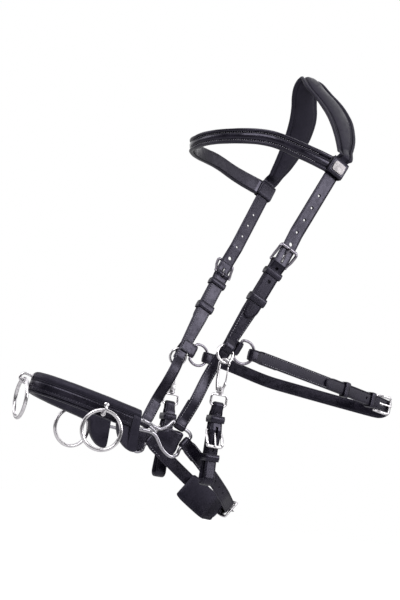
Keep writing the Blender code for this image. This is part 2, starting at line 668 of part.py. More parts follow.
def ring_and_snap(side, cheek):
    """The small ring in the cheek strap's fold, the snap that hangs in it and the swivel's eye."""
    level = -LAYER + LEATHER / 2 + FIT + BIT_RING_WIRE
    place = Matrix.Translation((level, -BIT_RING_DROP, 0)) @ Matrix.Rotation(CHEEK_LEAN + BIT_RING_TILT, 4, "Z")
    swing = anchor(side + "_bit_ring_pivot", cheek, place)
    lying = Matrix.Translation((0, -BIT_RING_RADIUS, 0)) @ Matrix.Rotation(pi / 2, 4, "Y")
    add(side + "_bit_ring", ring(side + "_bit_ring", BIT_RING_RADIUS, BIT_RING_WIRE, 24, 6), BRIGHT_STEEL, swing, lying)

    slide = anchor(side + "_snap_pivot", swing, Matrix.Translation((0, -BIT_RING_RADIUS, 0)))
    # The snap hangs plumb from the lowest point of the tilted ring.
    lowest = atan2(sin(CHEEK_RAKE), cos(CHEEK_RAKE) * cos(BIT_RING_TILT))
    below = Matrix.Translation((0, -BIT_RING_RADIUS * cos(lowest), -BIT_RING_RADIUS * sin(lowest)))
    plumb = Matrix.Rotation(-BIT_RING_TILT, 4, "Z") @ Matrix.Rotation(CHEEK_RAKE, 4, "X")
    hanging = below @ plumb @ Matrix.Translation((0, BIT_RING_WIRE + 2 * FIT - SNAP_THROAT, 0))
    hook = anchor(side + "_snap_frame", slide, hanging @ Matrix.Rotation(SNAP_TURN, 4, "Y"))
    mean = SNAP_THROAT + SNAP_WIRE
    barrel_low = -SNAP_LENGTH - SWIVEL_HEIGHT
    path = arc((0, 0), mean, -20, 180, 10)
    path += smooth(
        [
            path[-1],
            (-mean, -0.55 * SNAP_LENGTH),
            (-mean * 0.86, -0.88 * SNAP_LENGTH),
            (-mean * 0.64, -SNAP_LENGTH - SWIVEL_HEIGHT / 2),
        ],
        2,
    )[1:]
    body = wire(side + "_snap_hook", [(x, y, 0) for x, y in path], SNAP_WIRE)
    made = add(side + "_snap_hook", body, BRIGHT_STEEL, hook)
    middle = -SNAP_LENGTH - SWIVEL_HEIGHT / 2
    standing = Matrix.Translation((0, middle, 0)) @ Matrix.Rotation(pi / 2, 4, "X")
    name = side + "_snap_barrel"
    combine(made, tool(name, cylinders(name, [standing], SNAP_SHANK, SWIVEL_HEIGHT, 14), hook), "UNION")
    pivot = (mean * 0.80, -0.80 * SNAP_LENGTH)
    lug = GATE_WIRE * 2
    name = side + "_snap_lug"
    low = (pivot[0] - lug, middle, -lug)
    high = (pivot[0] + lug * 0.80, pivot[1] + lug / 2, lug)
    combine(made, tool(name, box(name, low, high), hook), "UNION")
    bore = SWIVEL_STEM + FIT
    name = side + "_snap_bore"
    combine(made, tool(name, cylinders(name, [standing], bore, SWIVEL_HEIGHT * 2, 12), hook), "DIFFERENCE")
    name = side + "_snap_slot"
    half = GATE_WIRE * 0.7 + FIT
    low = (pivot[0] - 2 * lug, pivot[1] - lug, -half)
    high = (pivot[0] + 2 * lug, pivot[1] + 2 * lug, half)
    combine(made, tool(name, box(name, low, high), hook), "DIFFERENCE")
    name = side + "_snap_pin"
    pin = Matrix.Translation((*pivot, 0))
    combine(made, tool(name, cylinders(name, [pin], GATE_WIRE * 0.45, lug * 1.8, 8), hook), "UNION")

    hinge = anchor(side + "_gate_pivot", hook, pin)
    top = arc((0, 0), mean, -20, -20, 1)[0]
    tip = (top[0] - pivot[0] - GATE_WIRE / 3, top[1] - pivot[1] - GATE_WIRE)
    gate = strap(side + "_snap_gate", [(0, 0), (tip[0] / 2, tip[1] / 2), tip], GATE_WIRE * 1.4, GATE_WIRE * 1.6)
    made = add(side + "_snap_gate", gate, BRIGHT_STEEL, hinge)
    name = side + "_gate_foot"
    foot = cylinders(name, [Matrix()], GATE_WIRE * 1.35, GATE_WIRE * 1.4, 12)
    combine(made, tool(name, foot, hinge), "UNION")
    name = side + "_gate_bore"
    combine(made, tool(name, cylinders(name, [Matrix()], GATE_WIRE * 0.45 + FIT, lug * 2, 10), hinge), "DIFFERENCE")

    swivel = anchor(side + "_swivel_pivot", slide, hanging)
    bar_top = barrel_low - FIT - EYE_WIRE
    bar_low = bar_top - EYE_HEIGHT
    half = EYE_WIDTH / 2
    outline = rounded_rectangle((-half, bar_low), (half, bar_top), EYE_CORNER, 3)
    made = add(
        side + "_snap_eye",
        wire(side + "_snap_eye", [(0, y, z) for z, y in outline], EYE_WIRE, cyclic=True),
        BRIGHT_STEEL,
        swivel,
    )
    head_low = -SNAP_LENGTH + FIT
    stem_middle = (bar_top + head_low) / 2
    stem = Matrix.Translation((0, stem_middle, 0)) @ Matrix.Rotation(pi / 2, 4, "X")
    name = side + "_swivel_stem"
    length = head_low - bar_top + SWIVEL_HEAD / 2
    combine(made, tool(name, cylinders(name, [stem], SWIVEL_STEM, length, 10), swivel), "UNION")
    cap = Matrix.Translation((0, head_low + SWIVEL_HEAD / 4, 0)) @ Matrix.Rotation(pi / 2, 4, "X")
    name = side + "_swivel_head"
    combine(made, tool(name, cylinders(name, [cap], SWIVEL_HEAD, SWIVEL_HEAD / 2, 10), swivel), "UNION")
    return swivel, bar_low


def bit_strap(side, swivel, bar_low):
    """The short strap that hangs in the swivel's eye, its small buckle and its keepers."""
    swing = anchor(side + "_bit_strap_pivot", swivel, Matrix.Translation((0, bar_low, 0)))
    # The buckle stands on its head, so its frame is turned half round about the outward direction.
    place = Matrix.Translation((0, -BIT_HINGE_DROP, 0)) @ Matrix.Rotation(pi, 4, "X")
    hinge = anchor(side + "_bit_buckle_bar", swing, place)
    buckle(side + "_bit", hinge, BIT_BUCKLE_LENGTH, BIT_WIDTH, BRIGHT_STEEL)

    rod = EYE_WIRE + FIT + LEATHER / 2
    back = -BEHIND_EYE
    chape = [(x, -y - BIT_HINGE_DROP) for x, y in chape_eye()]
    front = [(LAYER, -rod - 2 * LEATHER)]
    path = chape + front + eye((0, 0), rod, 0, 180)
    loop = (-(BIT_LOOP_RADIUS + back) / 4, -BIT_LOOP_DROP)
    path += [(back, -rod - 3 * LEATHER), (back, -BIT_KEEPER_DROP)]
    past = [(x, -y - BIT_HINGE_DROP) for x, y in over_buckle(BIT_BUCKLE_LENGTH)]
    path += smooth([(back, -BIT_KEEPER_DROP), (loop[0] - BIT_LOOP_RADIUS, loop[1])], 2)[1:-1]
    path += arc(loop, BIT_LOOP_RADIUS, 180, 360, 8)
    path += smooth([path[-1], (BILLET_UNDER, -BIT_KEEPER_DROP), *past], 3)[1:]
    path += [(BILLET_LEVEL, -BIT_TIP_DROP - TIP_LENGTH * share) for share in (0.6, 0.25, 0.05, 0)]
    narrow = pointed(path, BIT_WIDTH)

    def width(i, point):
        close = abs(point[1]) < rod + LEATHER and point[0] < BILLET_UNDER
        return BIT_END_WIDTH if close else narrow(i, point)

    made = add(side + "_bit_strap", strap(side + "_bit_strap", path, width), STRAP_LEATHER, swing)
    slot(made, hinge, -BAR_EYE - LEATHER / 2, BIT_BUCKLE_LENGTH * 0.62)
    punch(made, [across(-BIT_HINGE_DROP - BIT_BUCKLE_LENGTH - 2 * HOLE_RADIUS, CHEEK_WIDTH / 2)], CHEEK_WIDTH)
    upper_drop = BIT_HINGE_DROP - BAR_EYE - 2 * LEATHER - FIT - KEEPER_LENGTH / 2
    upper = keeper(
        side + "_bit_upper_keeper", back - LEATHER / 2, BILLET_LEVEL + LEATHER / 2, BIT_WIDTH, KEEPER_LENGTH
    )
    add(side + "_bit_upper_keeper", upper, STRAP_LEATHER, swing, Matrix.Translation((0, -upper_drop, 0)))
    lower = keeper(
        side + "_bit_lower_keeper", back - LEATHER, BILLET_UNDER + LEATHER, BIT_WIDTH, KEEPER_LENGTH
    )
    add(side + "_bit_lower_keeper", lower, STRAP_LEATHER, swing, Matrix.Translation((0, -BIT_KEEPER_DROP, 0)))


def along(controls, share, level=0.0):
    """A point at a share of a Bezier line, moved to the right of its direction by a level, and the direction there."""
    here = bezier(controls, share)
    step = 1 / len(controls) ** 3
    ahead = (bezier(controls, min(share + step, 1)) - bezier(controls, max(share - step, 0))).normalized()
    return here + level * Vector((ahead.y, -ahead.x)), ahead


def followed(controls, level, start, end, steps):
    """A stretch of a path beside a Bezier line."""
    return [along(controls, start + (end - start) * i / steps, level)[0] for i in range(steps + 1)]


def mirror(path):
    return [(-x, y) for x, y in path]


def end_fold(x, nose, tail, level):
    """A long fold round a curved wire, from the inner side to the outer side."""
    return [(x - level, tail), *arc((x, nose + level), level, -160, -20, 6), (x + level, tail)]


def jowl_strap():
    """The strap round the jowl: each half folded on a dee, the far one buckled over the near one."""
    level = -LAYER - LEATHER / 2 - FIT - TAB_LEATHER / 2
    bar = level + DEE_WIRE + FIT + TAB_LEATHER / 2
    dee = CHEEK @ Vector((bar, -JOWL_DEE_DROP, -DEE_STANDOFF - DEE_RADIUS * DEE_CENTRE_SHARE))
    place = Matrix.Translation((0, dee.y, dee.z)) @ Matrix.Rotation(-JOWL_TILT, 4, "X")
    frame = anchor("jowl_strap_pivot", None, place)
    nearest = sqrt(DEE_RADIUS**2 - (JOWL_END_WIDTH / 2) ** 2)
    tail = DEE_RADIUS + DEE_WIRE + LOOSE
    fold = end_fold(dee.x, nearest - DEE_WIRE - 2 * LOOSE - LEATHER / 2, tail, JOWL_FOLD_HALF_GAP)
    line = [(dee.x, tail + 2 * LEATHER), JOWL_BEND, JOWL_HINGE]
    lap = followed(line, -LAYER, 0.12, 0, 3)
    end, ahead = along(line, 1)
    at_hinge = turned(end, ahead)
    hinge = anchor("jowl_buckle_bar", frame, at_hinge)
    narrow_end = tail + LEATHER

    def width(i, point):
        return JOWL_END_WIDTH if point[1] < narrow_end else JOWL_WIDTH

    near = lap + fold + followed(line, LAYER, 0, 0.96, 10)
    near += list(reversed(on(chape_eye(), at_hinge)))
    near += followed(line, -LAYER, 0.96, 1 - JOWL_LAP / JOWL_HINGE[1], 2)[1:]
    made = add("jowl_near_strap", strap("jowl_near_strap", near, width), STRAP_LEATHER, frame)
    slot(made, hinge, -BAR_EYE - LEATHER / 2, BAR_EYE + LEATHER)
    buckle("jowl", hinge, JOWL_BUCKLE_LENGTH, JOWL_WIDTH, BRIGHT_STEEL)

    past = on(over_buckle(JOWL_BUCKLE_LENGTH), at_hinge)
    centre = past[0] - JOWL_TURN_RADIUS * Vector((cos(radians(20)), sin(radians(20))))
    turn = smooth(arc(centre, JOWL_TURN_RADIUS, 165, 40, 5) + past, 2)
    beside = followed(line, BILLET_LEVEL, 0.93, JOWL_TIP_SHARE, 8)
    tip, away = along(line, JOWL_TIP_SHARE, BILLET_LEVEL)
    point = [tip - away * TIP_LENGTH * share for share in (0.5, 0.8, 0.95, 1)]
    far = mirror(lap) + mirror(fold) + mirror(followed(line, LAYER, 0, 1, 10)) + turn + beside + point
    tapered = pointed(far, JOWL_WIDTH)

    def far_width(i, point):
        return JOWL_END_WIDTH if point[1] < narrow_end else tapered(i, point)

    mesh = strap("jowl_far_strap", far, far_width)
    start, low, full = tail + 2 * LEATHER, JOWL_HINGE[1] * 0.5, centre.y - JOWL_WIDTH
    for vertex in mesh.vertices:
        x, y, z = vertex.co
        if x < JOWL_TURN_RADIUS and y > start and not (x > 0 and y < centre.y):
            fall = min((y - start) / (low - start), 1)
            round_turn = min(max((x + JOWL_TURN_RADIUS) / (2 * JOWL_TURN_RADIUS), 0), 1) if y > full else 0
            vertex.co.z = z - JOWL_SAG * fall**2 * (3 - 2 * fall) * (1 - round_turn**2 * (3 - 2 * round_turn))
    made = add("jowl_far_strap", mesh, STRAP_LEATHER, frame)
    slot(made, hinge, BUCKLE_WIRE / 2, JOWL_BUCKLE_LENGTH * 0.58)
    holes = []
    for share in JOWL_HOLE_SHARES:
        at, toward = along(line, share, BILLET_LEVEL)
        holes.append(turned(at, toward) @ Matrix.Rotation(pi / 2, 4, "Y"))
    punch(made, holes, 2 * LEATHER)
    for name, share in (("jowl_front_keeper", JOWL_KEEPER_SHARES[0]), ("jowl_rear_keeper", JOWL_KEEPER_SHARES[1])):
        at, toward = along(line, share)
        low = -LAYER - LEATHER / 2 if share > 1 - JOWL_LAP / JOWL_HINGE[1] else LAYER - LEATHER / 2
        band = keeper(name, low - FIT / 2, BILLET_LEVEL + LEATHER / 2 + FIT, JOWL_WIDTH, KEEPER_LENGTH)
        add(name, band, STRAP_LEATHER, frame, turned(at, toward))


def section_body(name, stations):
    """A padded body through stations: each a centre, the direction across, the direction out and a scaled outline."""
    rings = []
    for centre, across_way, out_way, outline in stations:
        rings.append([centre + across_way * a + out_way * o for a, o in outline])
    return loft(name, rings)


def headpiece():
    """The padded crown over the poll, with a thin tail in each browband loop."""
    half, depth = POLL_HALF_WIDTH + POLL_THICKNESS, POLL_DEPTH
    knots = [Vector((half * a, depth * b, depth * c, depth * d)) for a, b, c, d in POLL_LINE_SHARES]
    middle = smooth([Vector((-k[0], k[1], k[2], k[3])) for k in reversed(knots[1:])] + knots)
    stations = []
    count = len(middle)
    for i, (x, z, front, rear) in enumerate(middle):
        before, after = middle[max(i - 1, 0)], middle[min(i + 1, count - 1)]
        run = Vector((after[0] - before[0], 0, after[1] - before[1])).normalized()
        out = Vector((-run.z, 0, run.x))
        width = (rear - front) / 2
        outline = [(u * width, v * POLL_THICKNESS) for u, v in POLL_SECTION_SHARES]
        stations.append((Vector((x, (front + rear) / 2, z)), Vector((0, 1, 0)), out, outline))
    # The tails run down the cheek line, outside the billets.
    down = CHEEK.to_3x3() @ Vector((0, -1, 0))
    back = CHEEK.to_3x3() @ Vector((0, 0, -1))
    out = CHEEK.to_3x3() @ Vector((1, 0, 0))
    level = LEATHER / 2 + FIT + POLL_TAIL / 2
    tails = []
    for height, shift, thick_share, wide in (
        (POLL_TAIL_ROOT, POLL_ROOT_SET_BACK, 0.62, 1.1),
        (POLL_TAIL_NECK, FIT, 0, 0.97),
        (-POLL_TAIL_DROP, 0, 0, 0.97),
    ):
        thickness = POLL_TAIL + (POLL_THICKNESS - POLL_TAIL) * thick_share
        centre = CHEEK_TOP + out * (level + (thickness - POLL_TAIL) / 2) - down * height + back * shift
        outline = [(u * (CHEEK_WIDTH / 2 - FIT) * wide, v * thickness) for u, v in POLL_SECTION_SHARES]
        tails.append((centre, back, out, outline))
    far = []
    for centre, back_way, out_way, outline in reversed(tails):
        flip = Vector((-1, 1, 1))
        far.append((centre * flip, back_way * flip, out_way * flip, outline))
    add("headpiece_pad", section_body("headpiece_pad", far + stations + tails), PAD_LEATHER, None)


def browband():
    """The padded browband, its lining, a leather loop at each end and the plate on the near one."""
    rise_line = smooth(BROW_RISE_SHARES, 6)
    stations = []
    inside = []
    for i in range(BROW_STEPS + 1):
        angle = BROW_END_ANGLE + (pi - 2 * BROW_END_ANGLE) * i / BROW_STEPS
        share = min(angle, pi - angle) / (pi / 2)
        before = max((p for p in rise_line if p[0] <= share), key=lambda p: p[0])
        after = min((p for p in rise_line if p[0] >= share), key=lambda p: p[0])
        part = (share - before[0]) / max(after[0] - before[0], FIT)
        rise = BROW_ARCH * (before[1] + (after[1] - before[1]) * part)
        x, y = BROW_HALF_WIDTH * cos(angle), BROW_START - BROW_REACH * sin(angle)
        out = Vector((cos(angle) / BROW_HALF_WIDTH, -sin(angle) / BROW_REACH, 0)).normalized()
        tall = (BROW_HEIGHT + (BROW_FRONT_HEIGHT - BROW_HEIGHT) * sin(angle) ** 2) / 2
        shear = sin(CHEEK_RAKE) * max(1 - share / BROW_SHEAR_SHARE, 0)
        up = Vector((0, shear, 1))
        centre = Vector((x, y, -BROW_DROP + rise))
        stations.append((centre, up, out, [(u * tall, v * BROW_THICKNESS) for u, v in BROW_SECTION_SHARES]))
        depth = -BROW_THICKNESS / 2 - FIT - BROW_LINING / 2
        strip = [(0.8, 0.5), (-0.8, 0.5), (-0.8, -0.5), (0.8, -0.5)]
        if 0 < i < BROW_STEPS:
            inside.append((centre + out * depth, up, out, [(u * tall, v * BROW_LINING) for u, v in strip]))
    made = add("browband", section_body("browband", stations), STRAP_LEATHER, None)
    add("browband_lining", section_body("browband_lining", inside), PAD_LEATHER, None)
    return made


def browband_loop(side, cheek, band):
    """The loop at the browband's end that the headpiece and the billet run through."""
    clear_in = -LEATHER / 2 - FIT
    clear_out = LEATHER / 2 + FIT + POLL_TAIL + FIT
    half = CHEEK_WIDTH / 2 + FIT
    wall = LOOP_WALL
    outlines = [
        rounded_rectangle((clear_in - wall, -half - wall), (clear_out + wall, half + wall), wall),
        rounded_rectangle((clear_in, -half), (clear_out, half), wall / 4, 1),
    ]
    mesh = extruded(side + "_browband_loop", outlines, LOOP_LENGTH)
    mesh.transform(Matrix.Rotation(-pi / 2, 4, "X"))
    name = side + "_browband_loop"
    combine(band, tool(name, mesh, cheek, Matrix.Translation((0, -LOOP_DROP, 0))), "UNION")
    if side == "near":
        low = (clear_out + wall + FIT, -LOOP_DROP - PLATE_HEIGHT / 2, -PLATE_LENGTH / 2)
        high = (low[0] + PLATE_THICKNESS, low[1] + PLATE_HEIGHT, PLATE_LENGTH / 2)
        add("browband_plate", box("browband_plate", low, high), BRIGHT_STEEL, cheek)


def nose_way(angle, inset=0.0):
    """A point of the noseband's outer curve, moved inwards, and the direction out of it."""
    out = Vector((cos(angle) / NOSE_HALF_WIDTH, -sin(angle) / NOSE_REACH, 0)).normalized()
    return Vector((NOSE_HALF_WIDTH * cos(angle), -NOSE_REACH * sin(angle), 0)) - out * inset, out


def nosepiece():
    """The padded noseband, the raised strip along it, the staples on the strip and the rings that hang in them."""
    frame = anchor("nose_frame", None, Matrix.Translation(NOSE_END) @ Matrix.Rotation(-NOSE_TILT, 4, "X"))
    high, thick = NOSE_PAD_HEIGHT / 2, NOSE_PAD_THICKNESS
    seat = NOSE_BAND_THICKNESS + FIT
    band_top = -NOSE_BAND_DROP + NOSE_BAND_HEIGHT / 2
    band_low = -NOSE_BAND_DROP - NOSE_BAND_HEIGHT / 2
    # Outline as height, depth and whether the point drops with the side lobe.
    outline = (
        (-high, seat * 1.1, 1), (-high * 0.97, seat * 0.55, 1), (-high * 0.88, seat * 0.45, 1),
        (band_low - FIT, seat, 0), (band_top + FIT, seat, 0), (band_top + FIT * 3, seat * 0.30, 0),
        (high * 0.50, 0, 0), (high * 0.84, seat * 0.45, 0), (high, thick * 0.45, 0), (high * 0.92, thick * 0.85, 0),
        (high * 0.5, thick, 0), (-high * 0.5, thick, 0.6), (-high * 0.94, thick * 0.85, 1),
    )
    up = Vector((0, 0, 1))

    def placed(point, out, lean, height, depth):
        # The lobes hang plumb below the tilted band, and so does the rear edge.
        below = -high - height
        back = tan(NOSE_TILT) * below * (1 if below > 0 else lean)
        return point - out * depth + Vector((0, back, height))

    pad, band = [], []
    # At each end a smooth cap covers the front of the side frame, and the strip starts in front of it.
    capped = [(z, 0 if depth == seat else depth, drop) for z, depth, drop in outline]
    end = NOSE_LOBE_LENGTH / NOSE_REACH
    angles = [end * share for share in NOSE_END_SHARES]
    rest = pi - 2 * angles[-1]
    angles += [angles[-1] + rest * i / NOSE_STEPS for i in range(1, NOSE_STEPS)]
    angles += [pi - angle for angle in reversed(angles[:len(NOSE_END_SHARES)])]
    for i, angle in enumerate(angles):
        point, out = nose_way(angle)
        edge = min((point - nose_way(0)[0]).length, (point - nose_way(pi)[0]).length)
        crest = NOSE_LOBE_LENGTH * 0.16
        part = (edge - crest) / (NOSE_LOBE_LENGTH - crest) if edge > crest else (crest - edge) / crest * 0.45
        lobe = NOSE_LOBE_DEPTH * sqrt(max(1 - part**2, 0))
        inset = min(i, len(angles) - 1 - i)
        here = capped if inset <= NOSE_CAP_STATION else outline
        lean = max(1 - edge / NOSE_LOBE_LENGTH, 0)
        pad.append([placed(point, out, lean, z - lobe * drop, depth) for z, depth, drop in here])
        strip = ((band_low, 0), (band_top, 0), (band_top, NOSE_BAND_THICKNESS), (band_low, NOSE_BAND_THICKNESS))
        if inset > NOSE_CAP_STATION + 1:
            band.append([placed(point, out, lean, z, depth) for z, depth in strip])
    made = add("nosepiece_pad", loft("nosepiece_pad", pad), PAD_LEATHER, frame)
    # A pocket at each end takes the front of the side frame.
    bar = FRAME_FRONT.y + FRAME_LENGTH * FRAME_FRONT_TOP_SHARES[0][0]
    edges = [FRAME_FRONT.z + FRAME_HEIGHT * share for share in (FRAME_FRONT_TOP_SHARES[0][1], FRAME_UNDER_SHARES[-1][1])]
    centre = FRAME_FRONT.x - FRAME_SET_IN
    beside = FRAME_WIRE + LOOSE
    room = FRAME_WIRE + 4 * FIT
    ahead = FRAME_WIRE + 4 * FIT
    for side, sign in SIDES:
        ends = sorted((sign * (centre - beside), sign * (centre + beside)))
        low = (ends[0], bar - ahead, edges[1] - room)
        high_corner = (ends[1], bar + NOSE_LOBE_LENGTH, edges[0] + room)
        name = side + "_frame_pocket"
        combine(made, tool(name, box(name, low, high_corner), None), "DIFFERENCE")
    add("nosepiece_band", loft("nosepiece_band", band), STRAP_LEATHER, frame)
    staples = (
        ("near", SIDE_STAPLE_ANGLE, STAPLE_REACH, 0),
        ("centre", pi / 2, CENTRE_STAPLE_REACH, CENTRE_STAPLE_RISE),
        ("far", pi - SIDE_STAPLE_ANGLE, STAPLE_REACH, 0),
    )
    for name, angle, reach, rise in staples:
        point, out = nose_way(angle)
        basis = Matrix((out, up, out.cross(up))).transposed().to_4x4()
        place = Matrix.Translation(point + up * (rise - NOSE_BAND_DROP)) @ basis
        fixed = anchor(name + "_staple_frame", frame, place)
        legs = [(FIT, STAPLE_RADIUS, 0)]
        legs += [(x, y, 0) for x, y in arc((reach - STAPLE_RADIUS, 0), STAPLE_RADIUS, 90, -90, 8)]
        legs += [(FIT, -STAPLE_RADIUS, 0)]
        add(name + "_staple", wire(name + "_staple", legs, STAPLE_WIRE), BRIGHT_STEEL, fixed)
        world = (frame.matrix_local @ place).copy()
        rest = STAPLE_WIRE + FIT + NOSE_RING_WIRE - STAPLE_RADIUS
        inward = reach - STAPLE_RADIUS
        at = world @ Vector((inward, rest, 0))
        facing = world.to_3x3() @ Vector((1, 0, 0))
        level_out = Vector((facing.x, facing.y, 0)).normalized()
        flat = Matrix((level_out, Vector((0, 0, 1)), level_out.cross(Vector((0, 0, 1))))).transposed().to_4x4()
        pivot = anchor(name + "_nose_ring_pivot", None, Matrix.Translation(at) @ flat)
        lying = Matrix.Translation((0, -NOSE_RING_RADIUS, 0)) @ Matrix.Rotation(pi / 2, 4, "Y")
        mesh = ring(name + "_nose_ring", NOSE_RING_RADIUS, NOSE_RING_WIRE)
        add(name + "_nose_ring", mesh, BRIGHT_STEEL, pivot, lying)


def bar_shares(middle_shares, way, width, reach_shares):
    """Points of the straight bar that a strap of this width is folded round, as shares of the frame's size."""
    return [
        (middle_shares[0] + way[0] * width * share / FRAME_LENGTH, middle_shares[1] + way[1] * width * share / FRAME_HEIGHT)
        for share in reach_shares
    ]


def side_frame(side, root):
    """The shaped steel wire behind the nosepiece's end and the leather behind it."""
    place = Matrix.Translation(FRAME_FRONT) @ Matrix.Rotation(pi / 2, 4, "X")
    frame = anchor(side + "_frame_plane", root, place)
    cheek_way = (-cos(CHEEK_RAKE), sin(CHEEK_RAKE))
    chin_way = (sin(CHIN_TILT), cos(CHIN_TILT))
    shares = [
        *FRAME_FRONT_TOP_SHARES,
        *bar_shares(CHEEK_BAR_SHARES, cheek_way, RING_FOLD_WIDTH, CHEEK_BAR_REACH_SHARES),
        FRAME_REAR_SHARES,
        *bar_shares(CHIN_BAR_SHARES, chin_way, CHIN_END_WIDTH, CHIN_BAR_REACH_SHARES),
        *FRAME_UNDER_SHARES,
    ]
    points = []
    for a, b in shares:
        away = min(max((a - FRAME_SET_SHARES[0]) / (FRAME_SET_SHARES[1] - FRAME_SET_SHARES[0]), 0), 1)
        set_in = FRAME_SET_IN * (1 - away**2 * (3 - 2 * away))
        points.append((-set_in, FRAME_HEIGHT * b, -FRAME_LENGTH * a))
    mesh = wire(side + "_side_frame", smooth(points, FRAME_SPAN_STEPS, closed=True), FRAME_WIRE, cyclic=True)
    add(side + "_side_frame", mesh, BRIGHT_STEEL, frame)


def chin():
    """The two chin straps, the buckle between them and the pad inside."""
    bar_y = FRAME_FRONT.y + FRAME_LENGTH * CHIN_BAR_SHARES[0]
    bar_z = FRAME_FRONT.z + FRAME_HEIGHT * CHIN_BAR_SHARES[1]
    place = Matrix.Translation((0, bar_y, bar_z)) @ Matrix.Rotation(-CHIN_TILT, 4, "X")
    frame = anchor("chin_frame", None, place)
    rod = FRAME_WIRE + FIT + LEATHER / 2
    x = FRAME_FRONT.x
    start = (x, rod + 2 * LEATHER)
    end = (-CHIN_HINGE[0], CHIN_HINGE[1])
    lead = (end[0] + CHIN_LEAD * CHIN_BUCKLE_WAY[0], end[1] - CHIN_LEAD * CHIN_BUCKLE_WAY[1])
    near_line = [start, *CHIN_NEAR_BENDS, end]
    line = [start, *CHIN_FAR_BENDS, lead, end]
    fold = followed(near_line, -LAYER, 0.16, 0, 3) + eye((x, 0), rod, 140, 400)
    at_hinge = turned(CHIN_HINGE, CHIN_BUCKLE_WAY) @ Matrix.Rotation(pi, 4, "Y")
    hinge = anchor("chin_buckle_bar", frame, at_hinge)
    narrow_end = rod + LEATHER

    def far_width(i, point):
        return CHIN_END_WIDTH if point[1] < narrow_end else CHIN_WIDTH

    far = mirror(fold + followed(line, LAYER, 0, 0.93, 10))
    far += list(reversed(on(chape_eye(), at_hinge)))
    far += mirror(followed(line, -LAYER, 0.93, 1 - CHIN_LAP / CHIN_HINGE[1], 2))[1:]
    made = add("far_chin_strap", strap("far_chin_strap", far, far_width), STRAP_LEATHER, frame)
    slot(made, hinge, -BAR_EYE - LEATHER / 2, BAR_EYE + LEATHER)
    buckle("chin", hinge, CHIN_BUCKLE_LENGTH, CHIN_WIDTH, BRIGHT_STEEL)

    past = on(over_buckle(CHIN_BUCKLE_LENGTH), at_hinge)
    near = fold + followed(near_line, LAYER, 0, 0.76, 8)
    approach = past[0] + (near[-1] - past[0]).normalized() * 2 * LEATHER
    near += smooth([approach, *past], 3)
    over = BILLET_LEVEL + FIT
    near += mirror(followed(line, over, 0.91, CHIN_TIP_SHARE, 4))
    tip, away = along(line, CHIN_TIP_SHARE, over)
    near += mirror([tip - away * TIP_LENGTH * share for share in (0.5, 0.8, 0.95, 1)])
    tapered = pointed(near, CHIN_WIDTH)

    def near_width(i, point):
        return CHIN_END_WIDTH if point[1] < narrow_end else tapered(i, point)

    made = add("near_chin_strap", strap("near_chin_strap", near, near_width), STRAP_LEATHER, frame)
    slot(made, hinge, BUCKLE_WIRE / 2, CHIN_BUCKLE_LENGTH * 0.58)
    holes = []
    for i in range(CHIN_HOLES):
        at, toward = along(near_line, CHIN_FIRST_HOLE_SHARE + CHIN_HOLE_STEP_SHARE * i, LAYER)
        holes.append(turned(at, toward) @ Matrix.Rotation(pi / 2, 4, "Y"))
    punch(made, holes, 2 * LEATHER, HOLE_RADIUS * 0.7)
    at, toward = along(line, CHIN_KEEPER_SHARE)
    place = turned((-at.x, at.y), (-toward.x, toward.y)) @ Matrix.Rotation(pi, 4, "Y")
    low, high = -LAYER - LEATHER / 2 - FIT / 2, BILLET_LEVEL + LEATHER / 2 + FIT
    band = keeper("chin_keeper", low, high, CHIN_WIDTH, KEEPER_LENGTH)
    add("chin_keeper", band, STRAP_LEATHER, frame, place)

    depth = LAYER + LEATHER / 2 + KEEPER_WALL + 3 * FIT + CHIN_PAD_THICKNESS / 2
    inside = mirror(followed(line, -depth, CHIN_PAD_SHARE, 1, 8))
    inside += [(-CHIN_HINGE[0] * share, CHIN_HINGE[1] - depth) for share in (0.0, 0.45, 0.85)]
    inside = [Vector(point) for point in inside]
    shape = ((1, 0), (0.94, 0.4), (0.8, 0.5), (-0.8, 0.5), (-0.94, 0.4), (-1, 0), (-0.94, -0.4), (-0.8, -0.5),
             (0.8, -0.5), (0.94, -0.4))
    stations = []
    for i, point in enumerate(inside):
        ahead = inside[min(i + 1, len(inside) - 1)] - inside[max(i - 1, 0)]
        ahead = Vector((ahead.x, ahead.y, 0)).normalized()
        out = Vector((-ahead.y, ahead.x, 0))
        edge = min(i, len(inside) - 1 - i)
        wide = CHIN_PAD_WIDTH / 2 * (0.86 if edge == 0 else 1)
        outline = [(u * wide, v * CHIN_PAD_THICKNESS) for u, v in shape]
        stations.append((Vector((point.x, point.y, -CHIN_PAD_DROP)), Vector((0, 0, 1)), out, outline))
    add("chin_pad", section_body("chin_pad", stations), PAD_LEATHER, frame)


CHEEK = Matrix.Translation(CHEEK_TOP) @ upright(CHEEK_RAKE, CHEEK_LEAN)
CHEEK_BAR = Vector((0, FRAME_LENGTH * CHEEK_BAR_SHARES[0], FRAME_HEIGHT * CHEEK_BAR_SHARES[1]))
FRAME_FRONT = CHEEK @ Vector((0, -FRAME_DROP, 0)) - CHEEK_BAR
NOSE_END = Vector((0, FRAME_FRONT.y + NOSE_END_BACK, FRAME_FRONT.z - NOSE_END_DROP))


def build():
    headpiece()
    band = browband()
    nosepiece()
    for side, sign in SIDES:
        root = anchor(side + "_side", None, Matrix.Diagonal((sign, 1, 1, 1)))
        cheek = anchor(side + "_cheek_line", root, CHEEK)
        browband_loop(side, cheek, band)
        hinge = billet_and_buckle(side, cheek)
        cheekpiece(side, cheek, hinge)
        jowl_dee(side, cheek)
        swivel, bar_low = ring_and_snap(side, cheek)
        bit_strap(side, swivel, bar_low)
        side_frame(side, root)
    jowl_strap()
    chin()


build()
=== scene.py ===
"""A black lungeing cavesson bridle as on a head, dressed round its solids. Metres, with +X the near side."""

import json
from math import atan2, cos, pi, radians, sin, sqrt, tan

import bmesh
import bpy
from mathutils import Matrix, Vector, noise


